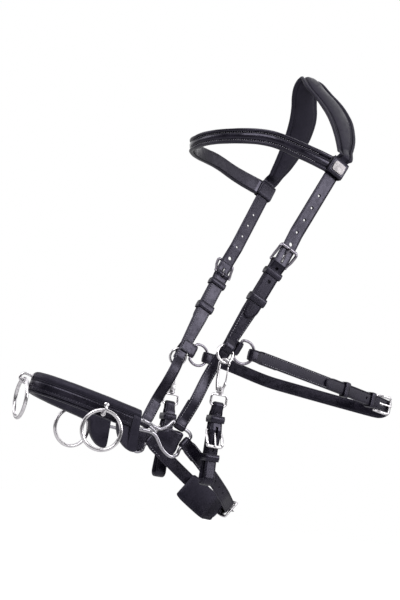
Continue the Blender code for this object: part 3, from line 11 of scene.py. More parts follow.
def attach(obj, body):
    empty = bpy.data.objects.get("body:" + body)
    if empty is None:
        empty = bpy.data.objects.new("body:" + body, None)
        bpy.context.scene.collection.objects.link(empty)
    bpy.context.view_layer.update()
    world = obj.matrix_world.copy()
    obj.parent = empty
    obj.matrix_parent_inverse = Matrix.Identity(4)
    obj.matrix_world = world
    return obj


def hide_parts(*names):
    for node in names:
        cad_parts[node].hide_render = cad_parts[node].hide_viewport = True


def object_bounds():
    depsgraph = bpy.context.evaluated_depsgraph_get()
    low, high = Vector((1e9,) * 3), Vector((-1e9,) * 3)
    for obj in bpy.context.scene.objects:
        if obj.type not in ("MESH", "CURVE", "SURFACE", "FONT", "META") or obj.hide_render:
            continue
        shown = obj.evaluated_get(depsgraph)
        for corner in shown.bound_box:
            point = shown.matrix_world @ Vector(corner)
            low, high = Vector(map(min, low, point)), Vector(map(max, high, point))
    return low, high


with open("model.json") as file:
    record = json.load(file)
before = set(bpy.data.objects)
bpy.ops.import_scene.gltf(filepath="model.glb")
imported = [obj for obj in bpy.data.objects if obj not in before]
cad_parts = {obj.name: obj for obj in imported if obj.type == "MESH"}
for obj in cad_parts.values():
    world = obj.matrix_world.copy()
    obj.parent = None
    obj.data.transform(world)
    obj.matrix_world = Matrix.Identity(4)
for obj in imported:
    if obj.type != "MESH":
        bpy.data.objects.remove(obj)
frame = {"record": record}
solid_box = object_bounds()
carrier = {node: body for body, nodes in frame["record"]["behaviour"]["bodies"].items() for node in nodes}

# The camera stands low before the near side, level with the noseband, and looks a little up at the bridle.
photographer = bpy.data.objects.new("photographer", bpy.data.cameras.new("photographer"))
bpy.context.scene.collection.objects.link(photographer)
photographer.data.lens = 69.38
photographer.data.clip_end = 30
view_right = Vector((0.41809, 0.89460, 0.15774)).normalized()
view_up = Vector((0.06845, -0.20418, 0.97654)).normalized()
view_from = Vector((1.23173356, -0.63512938, -0.49602955))
view_axes = Matrix((view_right, view_up, view_right.cross(view_up))).transposed().to_4x4()
photographer.matrix_world = Matrix.Translation(view_from) @ view_axes
bpy.context.scene.camera = photographer
bpy.context.scene.view_settings.view_transform = "Standard"


class Signal:
    """A value that runs through a material's or the world's nodes, written as arithmetic."""

    def __init__(self, tree, socket=None):
        self.tree, self.socket = tree, socket

    def node(self, kind, settings=None, inputs=None, output=0):
        """A node of any kind, its settings first, then the values or links of its sockets."""
        made = self.tree.nodes.new(kind)
        for key, value in (settings or {}).items():
            setattr(made, key, value)
        for key, value in (inputs or {}).items():
            if isinstance(value, Signal):
                self.tree.links.new(value.socket, made.inputs[key])
            else:
                made.inputs[key].default_value = value
        return Signal(self.tree, made.outputs[output])

    def math(self, operation, *values):
        """One sum on values or links."""
        return self.node("ShaderNodeMath", {"operation": operation}, dict(enumerate(values)))

    def __add__(self, other):
        return self.math("ADD", self, other)

    def __sub__(self, other):
        return self.math("SUBTRACT", self, other)

    def __rsub__(self, other):
        return self.math("SUBTRACT", other, self)

    def __mul__(self, other):
        return self.math("MULTIPLY", self, other)

    __radd__, __rmul__ = __add__, __mul__

    def between(self, low, high, start=0.0, end=1.0):
        """Rises smoothly from start to end while the value runs from low to high."""
        names = {"Value": self, "From Min": low, "From Max": high, "To Min": start, "To Max": end}
        return self.node("ShaderNodeMapRange", {"interpolation_type": "SMOOTHSTEP"}, names)

    def mixed(self, first, second):
        """The first colour where the value is 0 and the second where it is 1."""
        colors = [color if isinstance(color, Signal) else (*color, 1) for color in (first, second)]
        return self.node("ShaderNodeMix", {"data_type": "RGBA"}, {0: self, 6: colors[0], 7: colors[1]}, 2)

    def bumped(self, strength, distance, under=None):
        """The surface raised where the value is high, over another relief if one is given."""
        inputs = {"Height": self, "Strength": strength, "Distance": distance}
        if under:
            inputs["Normal"] = under
        return self.node("ShaderNodeBump", None, inputs, "Normal")


# A plain pale floor well below the bridle, a white studio round it and five soft lamps. What shines sees a
# dark room instead, with a bright ceiling and a bright band behind the bridle, so that steel and leather get
# crisp lines.
white = (1, 1, 1, 1)
plain_level, dark_room, bright_ceiling, bright_band, lens_glow = 0.35, 0.05, 1.5, 1.1, 0.10
view_east, view_north = 0.889, -0.459
studio = bpy.data.worlds.new("studio")
bpy.context.scene.world = studio
studio.use_nodes = True
air = Signal(studio.node_tree)
backdrop = studio.node_tree.nodes["Background"]
seen = air.node("ShaderNodeLightPath", output="Is Camera Ray")
mirrored = seen.node("ShaderNodeLightPath", output="Is Glossy Ray")
through = seen.node("ShaderNodeLightPath", output="Is Transmission Ray")
looked = air.node("ShaderNodeTexCoord", output="Generated")
east, north, height = (air.node("ShaderNodeSeparateXYZ", None, {0: looked}, axis) for axis in range(3))
to_camera = east * view_east + north * view_north
behind = to_camera.between(0.20, 0.70, 1.0, 0.0)
band = height.between(-0.10, 0.12) * height.between(0.32, 0.50, 1.0, 0.0) * behind * bright_band
surround = height.between(0.58, 0.78, dark_room, bright_ceiling) + band
surround = surround + to_camera.between(0.5, 0.9, 0.0, lens_glow)
strength = (seen + through) * 1.0 + mirrored * surround
strength = strength + (1 - seen) * (1 - mirrored) * (1 - through) * plain_level
studio.node_tree.links.new(strength.socket, backdrop.inputs["Strength"])
backdrop.inputs["Color"].default_value = white

floor_level, floor_half = -0.92, 9
floor_corners = [(floor_half * x, floor_half * y, floor_level) for x, y in ((-1, -1), (1, -1), (1, 1), (-1, 1))]
floor_mesh = bpy.data.meshes.new("studio_floor")
floor_mesh.from_pydata(floor_corners, [], [(0, 1, 2, 3)])
studio_floor = bpy.data.objects.new("studio_floor", floor_mesh)
bpy.context.scene.collection.objects.link(studio_floor)
paper = bpy.data.materials.new("pale_paper")
paper.use_nodes = True
sheet = paper.node_tree.nodes["Principled BSDF"]
start = Signal(paper.node_tree)
sheet.inputs["Roughness"].default_value = 0.9
sheet.inputs["Specular IOR Level"].default_value = 0
grain = start.node("ShaderNodeTexNoise", None, {"Scale": 40.0, "Detail": 4.0})
fibres = grain.mixed((0.80, 0.80, 0.80), (0.84, 0.84, 0.84))
paper.node_tree.links.new(fibres.socket, sheet.inputs["Base Color"])
sheet.inputs["Emission Color"].default_value = white
glow = start.node("ShaderNodeLightPath", output="Is Camera Ray") * 0.92
glow = glow + start.node("ShaderNodeLightPath", output="Is Glossy Ray") * dark_room
paper.node_tree.links.new(glow.socket, sheet.inputs["Emission Strength"])
floor_mesh.materials.append(paper)

middle = (solid_box[0] + solid_box[1]) / 2
for name, place, size, power in (
    ("key_lamp", (1.55, -1.00, 1.15), 1.3, 30.0),
    ("side_lamp", (1.33, 0.66, 0.10), 0.62, 11.0),
    ("fill_lamp", (0.95, 1.65, 0.35), 1.2, 8.0),
    ("front_lamp", (-0.75, -1.95, 0.75), 1.2, 14.0),
    ("rear_lamp", (-1.4, 1.2, 1.0), 1.4, 10.0),
):
    lamp = bpy.data.objects.new(name, bpy.data.lights.new(name, "AREA"))
    lamp.data.energy, lamp.data.size = power, size
    bpy.context.scene.collection.objects.link(lamp)
    lamp.location = place
    lamp.rotation_euler = (middle - Vector(place)).to_track_quat("-Z", "Y").to_euler()

# Cheek straps: an upper billet punched with eight holes, and a doubled and stitched lower strap that is
# folded round the buckle's bar at its top, the small ring in the middle and the steel side frame at its foot.
# Bridle leather, dyed through, with a creased line or a row of stitches along each edge.


def shifted(x=0, y=0, z=0):
    """A move along the axes."""
    return Matrix.Translation((x, y, z))


def turned(angle, axis):
    """A turn about one of the axes."""
    return Matrix.Rotation(angle, 4, axis)


fit, slack = 0.0003, 0.0007
leather = 0.0026
crease_in, crease_deep, crease_tool = 0.0019, 0.0004, 0.00048
layer = (leather + fit) / 2
billet_level = layer + leather + fit
cheek_width, lower_width, fold_width = 0.018, 0.014, 0.013
cheek_top = Vector((0.087, 0.0125, -0.120))
rake, lean = radians(21.6), radians(5.7)
billet_top, billet_drop, billet_release = 0.009, 0.211, 0.095
first_hole, hole_pitch, hole_count, buckled_hole, hole_radius = 0.043, 0.0171, 8, 5, 0.0022
chape_drop, billet_under, ring_bulge, standoff = 0.1375, 0.0042, 0.0046, 0.0036
taper_drop, ring_drop, front_layer_drop, frame_drop, frame_lap = 0.240, 0.2500, 0.2640, 0.3545, 0.030
foot_seam_drop, upper_keeper_drop, lower_keeper_drop = 0.275, 0.1515, 0.1870
keeper_length, lower_keeper_length = 0.008, 0.010
keeper_wall, keeper_crease = 0.0018, 0.0016
ring_radius, ring_wire, frame_wire = 0.0100, 0.0016, 0.0020
tip_length = 0.013
tip_shares = (0.6, 0.42, 0.28, 0.16, 0.07, 0.02, 0)
buckle_wire, buckle_pressed, cheek_buckle_length = 0.0014, 0.0005, 0.0195
tongue_thick, tongue_wide, slot_share = 0.0015, 0.0028, 0.58
bar_eye = buckle_wire + fit + leather / 2
buckle_rise = billet_under + leather / 2 + fit + buckle_wire
behind_eye = bar_eye + leather + fit
hanging = turned(pi / 2 - rake, "X") @ turned(-lean, "Z")
cheek_line = Matrix.Translation(cheek_top) @ hanging
sides = (("near", Matrix.Identity(4)), ("far", Matrix.Diagonal((-1, 1, 1, 1))))


def within(share):
    """A share kept between 0 and 1."""
    return min(max(share, 0), 1)


def around(count):
    """The angles of a round piece's sides."""
    return [2 * pi * k / count for k in range(count)]


def arc(centre, radius, start, end, steps=12):
    """Points of an arc about a centre, between two angles in degrees."""
    angles = [radians(start + (end - start) * i / steps) for i in range(steps + 1)]
    return [(centre[0] + radius * cos(a), centre[1] + radius * sin(a)) for a in angles]


def smooth(points, spans=6, closed=False):
    """A Catmull-Rom curve through points."""
    knots = [Vector(point) for point in points]
    count = len(knots)
    made = []
    for i in range(count if closed else count - 1):
        a, b, c, d = (
            knots[(i + k) % count] if closed else knots[min(max(i + k, 0), count - 1)] for k in (-1, 0, 1, 2)
        )
        for t in (step / spans for step in range(spans)):
            bent, swung = 2 * a - 5 * b + 4 * c - d, 3 * b - a - 3 * c + d
            made.append(((2 * b) + (c - a) * t + bent * t**2 + swung * t**3) / 2)
    return made if closed else made + [knots[-1]]


def filled(path, longest=0.004):
    """A path with points added until none of its steps is long."""
    made = [Vector(path[0])]
    for point in path[1:]:
        point, last = Vector(point), made[-1]
        steps = int((point - last).length / longest) + 1
        if (point - last).length > fit / 10:
            made += [last.lerp(point, (i + 1) / steps) for i in range(steps)]
    return made


def pointed(path, width, length=tip_length):
    """A width that narrows to a rounded point at the end of a path."""
    left = [0.0]
    for a, b in zip(reversed(path), list(reversed(path))[1:]):
        left.append(left[-1] + (Vector(a) - Vector(b)).length)
    left.reverse()
    return lambda i, point: width * sqrt(max(1 - max(1 - left[i] / length, 0) ** 2, 0.012))


def meshed(name, rings, closed=False, uvs=None):
    """A closed skin through rings of equally many points, with a UV map of millimetres across and along."""
    size, count = len(rings[0]), len(rings)
    faces = []
    for i in range(count if closed else count - 1):
        after = (i + 1) % count
        for j in range(size):
            k = (j + 1) % size
            faces.append((i * size + j, i * size + k, after * size + k, after * size + j))
    quads = len(faces)
    if not closed:
        faces += [tuple(range(size)), tuple((count - 1) * size + j for j in range(size))]
    mesh = bpy.data.meshes.new(name)
    mesh.from_pydata([tuple(point) for ring in rings for point in ring], [], faces)
    if uvs:
        layer_uv = mesh.uv_layers.new(name="surface")
        for polygon in mesh.polygons:
            rows = [vertex // size for vertex in polygon.vertices]
            wrap = polygon.index < quads and max(rows) - min(rows) > 1
            for loop, vertex in zip(polygon.loop_indices, polygon.vertices):
                i, j = divmod(vertex, size)
                across, along = uvs(i if not (wrap and i == 0) else count, j)
                layer_uv.data[loop].uv = (across, along)
    return outwards(mesh)


def shaded(mesh, sharp=38):
    """Smooth faces, with an edge wherever the surface turns by more than an angle in degrees."""
    mesh.shade_smooth()
    mesh.set_sharp_from_angle(angle=radians(sharp))
    return mesh


def plain(name, work):
    """A bmesh's shape as a mesh."""
    mesh = bpy.data.meshes.new(name)
    work.to_mesh(mesh)
    work.free()
    return mesh


def outwards(mesh, sharp=38):
    """The mesh with every face pointing out."""
    work = bmesh.new()
    work.from_mesh(mesh)
    bmesh.ops.recalc_face_normals(work, faces=work.faces)
    work.to_mesh(mesh)
    work.free()
    return shaded(mesh, sharp)


def strap_section(half, thick, crease, depth):
    """Half round edges, and on both faces a creased line beside each edge, as (across, outwards)."""
    top = thick / 2
    edge = min(thick * 0.30, half * 0.5)
    line = max(half - crease, half * 0.45)
    tool = min(crease_tool, (half - line) * 0.35)
    rim = top - depth * 0.45
    margin = rim - depth * 0.9
    corner = [
        (0, top), (line - 3.4 * tool, top), (line - 1.5 * tool, top - depth * 0.08),
        (line - 0.8 * tool, rim - depth * 0.35), (line - 0.2 * tool, rim - depth),
        (line + 0.3 * tool, rim - depth), (line + tool, rim), (half - edge, margin),
        (half - 0.40 * edge, margin - 0.20 * edge), (half - 0.08 * edge, margin - 0.65 * edge), (half, 0),
    ]
    right = corner + [(z, -n) for z, n in reversed(corner[:-1])]
    return right + [(-z, n) for z, n in reversed(right[1:-1])]


def strap(name, path, width, place, thick=leather, crease=crease_in, depth=crease_deep, closed=False):
    """Strap leather along a plane path, its width along the place's Z.

    Its rim attribute holds each point's distance from the nearer edge in millimetres.
    """
    points = [Vector((*point, 0)) for point in path]
    count = len(points)
    travelled = [0.0]
    for a, b in zip(points, points[1:] + points[:1]):
        travelled.append(travelled[-1] + (b - a).length)
    rings, spans = [], []
    for i, point in enumerate(points):
        before = points[i - 1] if i or closed else point
        after = points[(i + 1) % count] if i < count - 1 or closed else point
        ahead = (after - before).normalized()
        side = Vector((ahead.y, -ahead.x, 0))
        span = (width(i, path[i]) if callable(width) else width) / 2
        outline = strap_section(span, thick - fit / 2, crease, depth)
        rings.append([place @ (point + side * n + Vector((0, 0, z))) for z, n in outline])
        spans.append([(1000 * (z if n > 0 else z + 0.05), 1000 * (span - abs(z))) for z, n in outline])
    flat = lambda i, j: (spans[i % count][j][0], 1000 * travelled[i])
    mesh = meshed(name, rings, closed, flat)
    rim = mesh.attributes.new("rim", "FLOAT", "POINT")
    rim.data.foreach_set("value", [edge for ring in spans for _, edge in ring])
    return mesh


def cut(mesh, cutters):
    """The mesh less some bodies, each a small mesh in world places."""
    target = bpy.data.objects.new("cut", mesh)
    bpy.context.scene.collection.objects.link(target)
    tools = []
    for cutter in cutters:
        tool = bpy.data.objects.new("cutter", outwards(cutter))
        bpy.context.scene.collection.objects.link(tool)
        tools.append(tool)
        modifier = target.modifiers.new("cut", "BOOLEAN")
        modifier.operation, modifier.object = "DIFFERENCE", tool
    bpy.context.view_layer.update()
    made = bpy.data.meshes.new_from_object(target.evaluated_get(bpy.context.evaluated_depsgraph_get()))
    for leftover in [target, *tools]:
        bpy.data.objects.remove(leftover)
    return shaded(made, 24)


def hole_cutters(places, depth, radius, sides=16):
    """Punched holes with a pressed rim, each at a place whose Z runs through the strap."""
    steps = ((-depth, 0.62), (leather * 0.12, 0.62), (leather * 0.36, 0.80), (leather * 0.52, 1.08),
             (depth, 1.12))
    work = bmesh.new()
    for place in places:
        rings = []
        for z, share in steps:
            outline = arc((0, 0), radius * share, 0, 360 - 360 / sides, sides - 1)
            rings.append([work.verts.new(place @ Vector((*point, z))) for point in outline])
        for a, b in zip(rings, rings[1:]):
            for i in range(sides):
                k = (i + 1) % sides
                work.faces.new((a[i], a[k], b[k], b[i]))
        work.faces.new(rings[0])
        work.faces.new(rings[-1])
    return plain("holes", work)


def block(low, high, place):
    """A box between two corners, moved to a place."""
    work = bmesh.new()
    bmesh.ops.create_cube(work, size=1)
    for vertex in work.verts:
        vertex.co = place @ Vector([high[i] if vertex.co[i] > 0 else low[i] for i in range(3)])
    return plain("block", work)


def tongue_slot(place, near_end, far_end):
    """The opening in a strap that a buckle's tongue moves in."""
    half = tongue_wide / 2 + fit
    return block((-bar_eye - layer, near_end, -half), (buckle_rise + bar_eye, far_end, half), place)


def fitted(node, mesh, finish, suffix="leather"):
    """The finished piece that stands for a CAD node, on that node's body."""
    piece = bpy.data.objects.new(f"{node}_{suffix}", mesh)
    bpy.context.scene.collection.objects.link(piece)
    mesh.materials.clear()
    mesh.materials.append(finish[0])
    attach(piece, carrier[node])
    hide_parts(node)
    return piece


def carried(name, mesh, body, finish):
    """A finished piece that no CAD node stands for."""
    piece = bpy.data.objects.new(name, mesh)
    bpy.context.scene.collection.objects.link(piece)
    if not mesh.materials:
        mesh.materials.append(finish[0])
    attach(piece, body)
    return piece


def leather_finish(name, slot, dark, light, gloss, pores, pore_depth, sheen=0.0, wear_and_highlight=0.0, specular=0.3):
    """Dyed leather: pores and a fine grain, soft hollows, uneven dye and gloss, rubbed edges, and a painted
    highlight beside each crease.
    """
    material = bpy.data.materials.new(name)
    material.use_nodes = True
    tree = material.node_tree
    shader = tree.nodes["Principled BSDF"]
    start = Signal(tree)
    at = start.node("ShaderNodeTexCoord", output="Object")
    cells = start.node("ShaderNodeTexVoronoi", {"feature": "SMOOTH_F1"},
                       {"Vector": at, "Scale": pores, "Smoothness": 0.35})
    fine = start.node("ShaderNodeTexNoise", None, {"Vector": at, "Scale": pores * 1.9, "Detail": 3.0})
    cloudy = start.node("ShaderNodeTexNoise", None,
                        {"Vector": at, "Scale": 55.0, "Detail": 4.0, "Roughness": 0.6})
    hollows = start.node("ShaderNodeTexNoise", None, {"Vector": at, "Scale": 210.0, "Detail": 2.0})
    patch = cloudy.between(0.35, 0.68)
    color = patch.mixed(dark, light)
    rough = gloss + patch * 0.10 + (cells * -0.12) + hollows.between(0.4, 0.7, 0.0, 0.08)
    # Rubbed edges are wear; the lighter band beside each crease is a painted highlight. Both are placed by the
    # rim distance.
    if wear_and_highlight:
        rim = start.node("ShaderNodeAttribute", {"attribute_name": "rim"}, output="Fac")
        wear_and_crease_highlight = (1 - rim.between(0.1, 0.9)) * cloudy.between(0.40, 0.58) * wear_and_highlight
        # A lighter band painted just inside each crease: a painted highlight where the ridge beside the crease
        # would catch the light.
        painted_crease_highlight = rim.between(1.95, 2.25) * rim.between(2.45, 2.9, 1.0, 0.0)
        painted_crease_highlight = painted_crease_highlight * cloudy.between(0.25, 0.5, 0.45, 1.0)
        wear_and_crease_highlight = wear_and_crease_highlight + painted_crease_highlight * wear_and_highlight * 1.5
        # This lighter colour paints both the rubbed edges (wear) and the painted crease highlight.
        color = wear_and_crease_highlight.mixed(color, tuple(3.2 * c + 0.012 for c in light))
        rough = rough - wear_and_crease_highlight * 0.10
    tree.links.new(color.socket, shader.inputs["Base Color"])
    tree.links.new(rough.socket, shader.inputs["Roughness"])
    relief = cells * 0.55 + fine * 0.45
    pored = relief.bumped(0.6, pore_depth)
    tree.links.new(hollows.bumped(0.5, 0.00007, pored).socket, shader.inputs["Normal"])
    shader.inputs["Specular IOR Level"].default_value = specular
    shader.inputs["Specular Tint"].default_value = (0.83, 0.78, 1, 1)
    shader.inputs["Sheen Weight"].default_value = sheen
    shader.inputs["Sheen Roughness"].default_value = 0.45
    return material, slot


def thread_finish(name, slot, color):
    """Waxed thread: a twist along its length, its grooves painted darker as shade."""
    material = bpy.data.materials.new(name)
    material.use_nodes = True
    tree = material.node_tree
    shader = tree.nodes["Principled BSDF"]
    start = Signal(tree)
    at = start.node("ShaderNodeTexCoord", output="Object")
    twist_and_groove_shade = start.node("ShaderNodeTexWave", {"wave_type": "BANDS", "bands_direction": "DIAGONAL"},
                       {"Vector": at, "Scale": 700.0, "Distortion": 1.5}, "Fac")
    # The low bands of the twist, its grooves, are painted darker as painted shade, over the same bands that
    # shape the relief.
    tree.links.new(twist_and_groove_shade.mixed(tuple(c * 0.55 for c in color), color).socket, shader.inputs["Base Color"])
    tree.links.new((0.55 + twist_and_groove_shade * 0.15).socket, shader.inputs["Roughness"])
    tree.links.new(twist_and_groove_shade.bumped(0.5, 0.0001).socket, shader.inputs["Normal"])
    return material, slot


def steel_finish(name, slot, color, rough, tint):
    """Plated steel with fine polishing marks, faint clouds and small nicks."""
    material = bpy.data.materials.new(name)
    material.use_nodes = True
    tree = material.node_tree
    shader = tree.nodes["Principled BSDF"]
    start = Signal(tree)
    at = start.node("ShaderNodeTexCoord", output="Object")
    clouds = start.node("ShaderNodeTexNoise", None,
                        {"Vector": at, "Scale": 160.0, "Detail": 5.0, "Roughness": 0.65})
    marks = start.node("ShaderNodeTexNoise", None, {"Vector": at, "Scale": 1900.0, "Detail": 2.0})
    tree.links.new(clouds.between(0.3, 0.75).mixed(color, tint).socket, shader.inputs["Base Color"])
    tree.links.new((rough + clouds.between(0.35, 0.8, 0.0, 0.14)).socket, shader.inputs["Roughness"])
    shader.inputs["Metallic"].default_value = 1
    nicks = marks.bumped(0.16, 0.00004)
    tree.links.new(clouds.bumped(0.25, 0.0002, nicks).socket, shader.inputs["Normal"])
    return material, slot


# The strap leather has rubbed edges, and a painted highlight runs beside each crease.
strap_leather = leather_finish(
    "bridle_leather", "strap_leather", (0.0026, 0.0022, 0.0046), (0.0058, 0.0048, 0.0096),
    0.30, 1500.0, 0.000016, wear_and_highlight=0.30, specular=0.34)
thread = thread_finish("waxed_thread", "strap_leather", (0.36, 0.35, 0.40))
nickel = steel_finish("nickel_plate", "polished_steel", (0.62, 0.60, 0.62), 0.15, (0.50, 0.48, 0.51))
stainless = steel_finish("stainless_steel", "polished_steel", (0.34, 0.33, 0.36), 0.17, (0.25, 0.24, 0.27))
gunmetal = steel_finish("gunmetal_plate", "darkened_steel", (0.20, 0.185, 0.215), 0.22, (0.12, 0.11, 0.135))


def node_tree(name, sizes):
    """An empty geometry tree with named sizes."""
    tree = bpy.data.node_groups.new(name, "GeometryNodeTree")
    tree.interface.new_socket("Geometry", in_out="INPUT", socket_type="NodeSocketGeometry")
    for size, value in sizes.items():
        kind = "NodeSocketInt" if isinstance(value, int) else "NodeSocketFloat"
        tree.interface.new_socket(size, in_out="INPUT", socket_type=kind).default_value = value
    tree.interface.new_socket("Material", in_out="INPUT", socket_type="NodeSocketMaterial")
    tree.interface.new_socket("Geometry", in_out="OUTPUT", socket_type="NodeSocketGeometry")
    given = tree.nodes.new("NodeGroupInput")
    wanted = tree.nodes.new("NodeGroupOutput")

    def add(kind, settings=None, **links):
        """A node with its sockets linked or set, each by its name or, after _, its number."""
        node = tree.nodes.new(kind)
        for key, value in (settings or {}).items():
            setattr(node, key, value)
        for key, value in links.items():
            socket = node.inputs[int(key[1:]) if key[0] == "_" else key.replace("_", " ")]
            if isinstance(value, bpy.types.NodeSocket):
                tree.links.new(value, socket)
            else:
                socket.default_value = value
        return node

    def close(socket):
        """Ends the tree as real geometry with its material."""
        real = add("GeometryNodeRealizeInstances", _0=socket)
        coated = add("GeometryNodeSetMaterial", _0=real.outputs[0], Material=given.outputs["Material"])
        tree.links.new(coated.outputs[0], wanted.inputs[0])

    return tree, given.outputs, add, close


# Stitches lie along rows of points, one every pitch, a little sunk into the leather.
stitch_sunk = 0.0001
stitch_sizes = {"Pitch": 0.0030, "Length": 0.0022, "Thread": 0.00055}
stitch_tree, sizes, add, close = node_tree("stitch_rows", stitch_sizes)
rows_curve = add("GeometryNodeMeshToCurve", _0=sizes["Geometry"])
spaced = add("GeometryNodeResampleCurve", {"mode": "LENGTH"}, Curve=rows_curve.outputs[0],
             Length=sizes["Pitch"])
bead = add("GeometryNodeMeshUVSphere", Segments=6, Rings=5, Radius=0.5)
stretch = add("ShaderNodeCombineXYZ", X=sizes["Thread"], Y=sizes["Thread"], Z=sizes["Length"])
long_bead = add("GeometryNodeTransform", _0=bead.outputs["Mesh"], Scale=stretch.outputs[0])
tangent = add("GeometryNodeInputTangent")
turn = add("FunctionNodeAlignRotationToVector", {"axis": "Z"}, Vector=tangent.outputs[0])
placed = add("GeometryNodeInstanceOnPoints", Points=spaced.outputs[0], Instance=long_bead.outputs[0],
             Rotation=turn.outputs[0])
smooth_beads = add("GeometryNodeSetShadeSmooth", _0=placed.outputs[0])
close(smooth_beads.outputs[0])

# Wires are bent round closed or open paths.
wire_tree, sizes, add, close = node_tree("bent_wire", {"Radius": 0.0015, "Sides": 16})
bend = add("GeometryNodeMeshToCurve", _0=sizes["Geometry"])
profile = add("GeometryNodeCurvePrimitiveCircle", Resolution=sizes["Sides"], Radius=sizes["Radius"])
drawn = add("GeometryNodeCurveToMesh", Curve=bend.outputs[0], Profile_Curve=profile.outputs[0], Fill_Caps=True)
round_wire = add("GeometryNodeSetShadeSmooth", _0=drawn.outputs[0])
close(round_wire.outputs[0])


def grown(name, lines, tree, finish, closed=False, **sizes):
    """The plain mesh that a tree makes of lines of points."""
    points, edges = [], []
    for line in lines:
        first = len(points)
        points += [tuple(point) for point in line]
        edges += [(first + i, first + i + 1) for i in range(len(line) - 1)]
        if closed:
            edges.append((len(points) - 1, first))
    source = bpy.data.meshes.new(name)
    source.from_pydata(points, edges, [])
    holder = bpy.data.objects.new(name, source)
    bpy.context.scene.collection.objects.link(holder)
    modifier = holder.modifiers.new(name, "NODES")
    modifier.node_group = tree
    wanted = {"Material": finish[0], **{key.capitalize(): value for key, value in sizes.items()}}
    for item in tree.interface.items_tree:
        if item.item_type == "SOCKET" and item.in_out == "INPUT" and item.name in wanted:
            modifier[item.identifier] = wanted[item.name]
    bpy.context.view_layer.update()
    mesh = bpy.data.meshes.new_from_object(holder.evaluated_get(bpy.context.evaluated_depsgraph_get()))
    bpy.data.objects.remove(holder)
    mesh.name = name
    return outwards(mesh) if tree == wire_tree else mesh


def wire(name, points, radius, finish, closed=False, sides=16):
    """A wire bent along points."""
    return grown(name, [points], wire_tree, finish, closed, radius=radius, sides=sides)


def stitch_rows(path, width, place, where, face=1, inset=crease_in, thick=leather):
    """Rows beside both edges of one face of a strap, wherever a test of the path's point holds."""
    rows = []
    for sign in (1, -1):
        row = []
        for i, point in enumerate(path):
            point = Vector(point)
            if not where(point):
                if len(row) > 1:
                    rows.append(row)
                row = []
                continue
            a, b = Vector(path[max(i - 1, 0)]), Vector(path[min(i + 1, len(path) - 1)])
            ahead = (b - a).normalized()
            side = Vector((ahead.y, -ahead.x))
            half = (width(i, path[i]) if callable(width) else width) / 2
            at = point + side * face * (thick / 2 - stitch_sunk)
            row.append(place @ Vector((*at, sign * (half - inset))))
        if len(row) > 1:
            rows.append(row)
    return rows


def stitched(name, rows, node, finish=thread, **sizes):
    """Stitches along rows, on the body that carries a node."""
    carried(name, grown(name, rows, stitch_tree, finish, **sizes), carrier[node], finish)


def over_buckle(length):
    """A billet past a buckle in the buckle's frame: from the end bar, over the hinge bar, to its own level."""
    return [
        (billet_under, length + buckle_wire), (billet_under, length - 2 * buckle_wire),
        (behind_eye, buckle_wire), (behind_eye, -buckle_wire), (billet_level, -bar_eye - 2 * leather),
    ]


def chape_eye():
    """A fold round the hinge bar in the buckle's frame, from the inner layer to the outer one."""
    return [(-layer, -bar_eye - leather), *arc((0, 0), bar_eye, 215, -35, 20), (layer, -bar_eye - leather)]


def buckle(prefix, place, length, width, finish):
    """A bent and pressed wire frame and its tongue, with the hinge bar at the place and the end bar along Y."""
    half = width / 2 + slack + buckle_wire
    corner = 2 * buckle_wire
    side = [
        (0, 0, half - corner / 2), (0, corner / 2, half), (buckle_rise / 4, length / 4, half),
        (buckle_rise * 2 / 3, length / 2, half), (buckle_rise, length - corner, half),
        (buckle_rise, length - corner / 4, half - corner / 4), (buckle_rise, length, half - corner),
    ]
    loop = smooth(side + [(x, y, -z) for x, y, z in reversed(side)], 6, closed=True)
    rings = []
    for i, point in enumerate(loop):
        ahead = (loop[(i + 1) % len(loop)] - loop[i - 1]).normalized()
        away = ahead.cross(Vector((1, 0, 0))).normalized()
        away *= 1 if away.dot(point - Vector((point.x, length / 2, 0))) > 0 else -1
        above = ahead.cross(away)
        pressed = within(point.y / length / 0.35 - 0.2) * buckle_pressed
        ring = []
        for a in around(18):
            wide = pressed + (buckle_wire + pressed) * 0.98 * cos(a)
            high = buckle_wire * 0.96 * sin(a) * min(1.0, 0.80 + abs(sin(a)) * 0.2)
            ring.append(place @ (point + away * wide + above * high))
        rings.append(ring)
    mesh = meshed(prefix + "_buckle", rings, closed=True)
    fitted(prefix + "_buckle", mesh, finish, "steel")
    reach = buckle_wire + fit + tongue_thick / 2
    rest = buckle_rise + reach
    eye = arc((0, 0), reach, -215, -35, 18)
    straight = smooth([eye[-1], (rest, length - buckle_wire), (rest, length + buckle_wire / 2)], 6)
    path = filled(eye + straight[1:], 0.002)
    flat, deep = tongue_wide / 2 * 0.96, tongue_thick / 2 * 0.96
    shape = [(cos(a) * flat, sin(a) * deep) for a in around(16)]
    rings = []
    for i, point in enumerate(path):
        ahead = (path[min(i + 1, len(path) - 1)] - path[max(i - 1, 0)]).normalized()
        side_way = Vector((ahead.y, -ahead.x, 0))
        thin = 1 - 0.28 * i / (len(path) - 1)
        at = Vector((*point, 0))
        rings.append([place @ (at + side_way * n + Vector((0, 0, z * thin))) for z, n in shape])
    fitted(prefix + "_tongue", meshed(prefix + "_tongue", rings), finish, "steel")


def loop_mesh(name, place, low, high, half, wall, length, crease):
    """A band of leather closed round a box, given the middle of its wall: low and high in X, and half its Z."""
    corner = 0.0013
    turns = ((high - corner, half - corner, 0), (low + corner, half - corner, 90),
             (low + corner, corner - half, 180), (high - corner, corner - half, 270))
    path = [point for x, y, first in turns for point in arc((x, y), corner, first, first + 90, 6)]
    path = filled(path + path[:1], 0.003)[:-1]
    upright = place @ turned(pi / 2, "X")
    return strap(name, path, length * 0.98, upright, wall * 0.96, crease, 0.0003, closed=True)


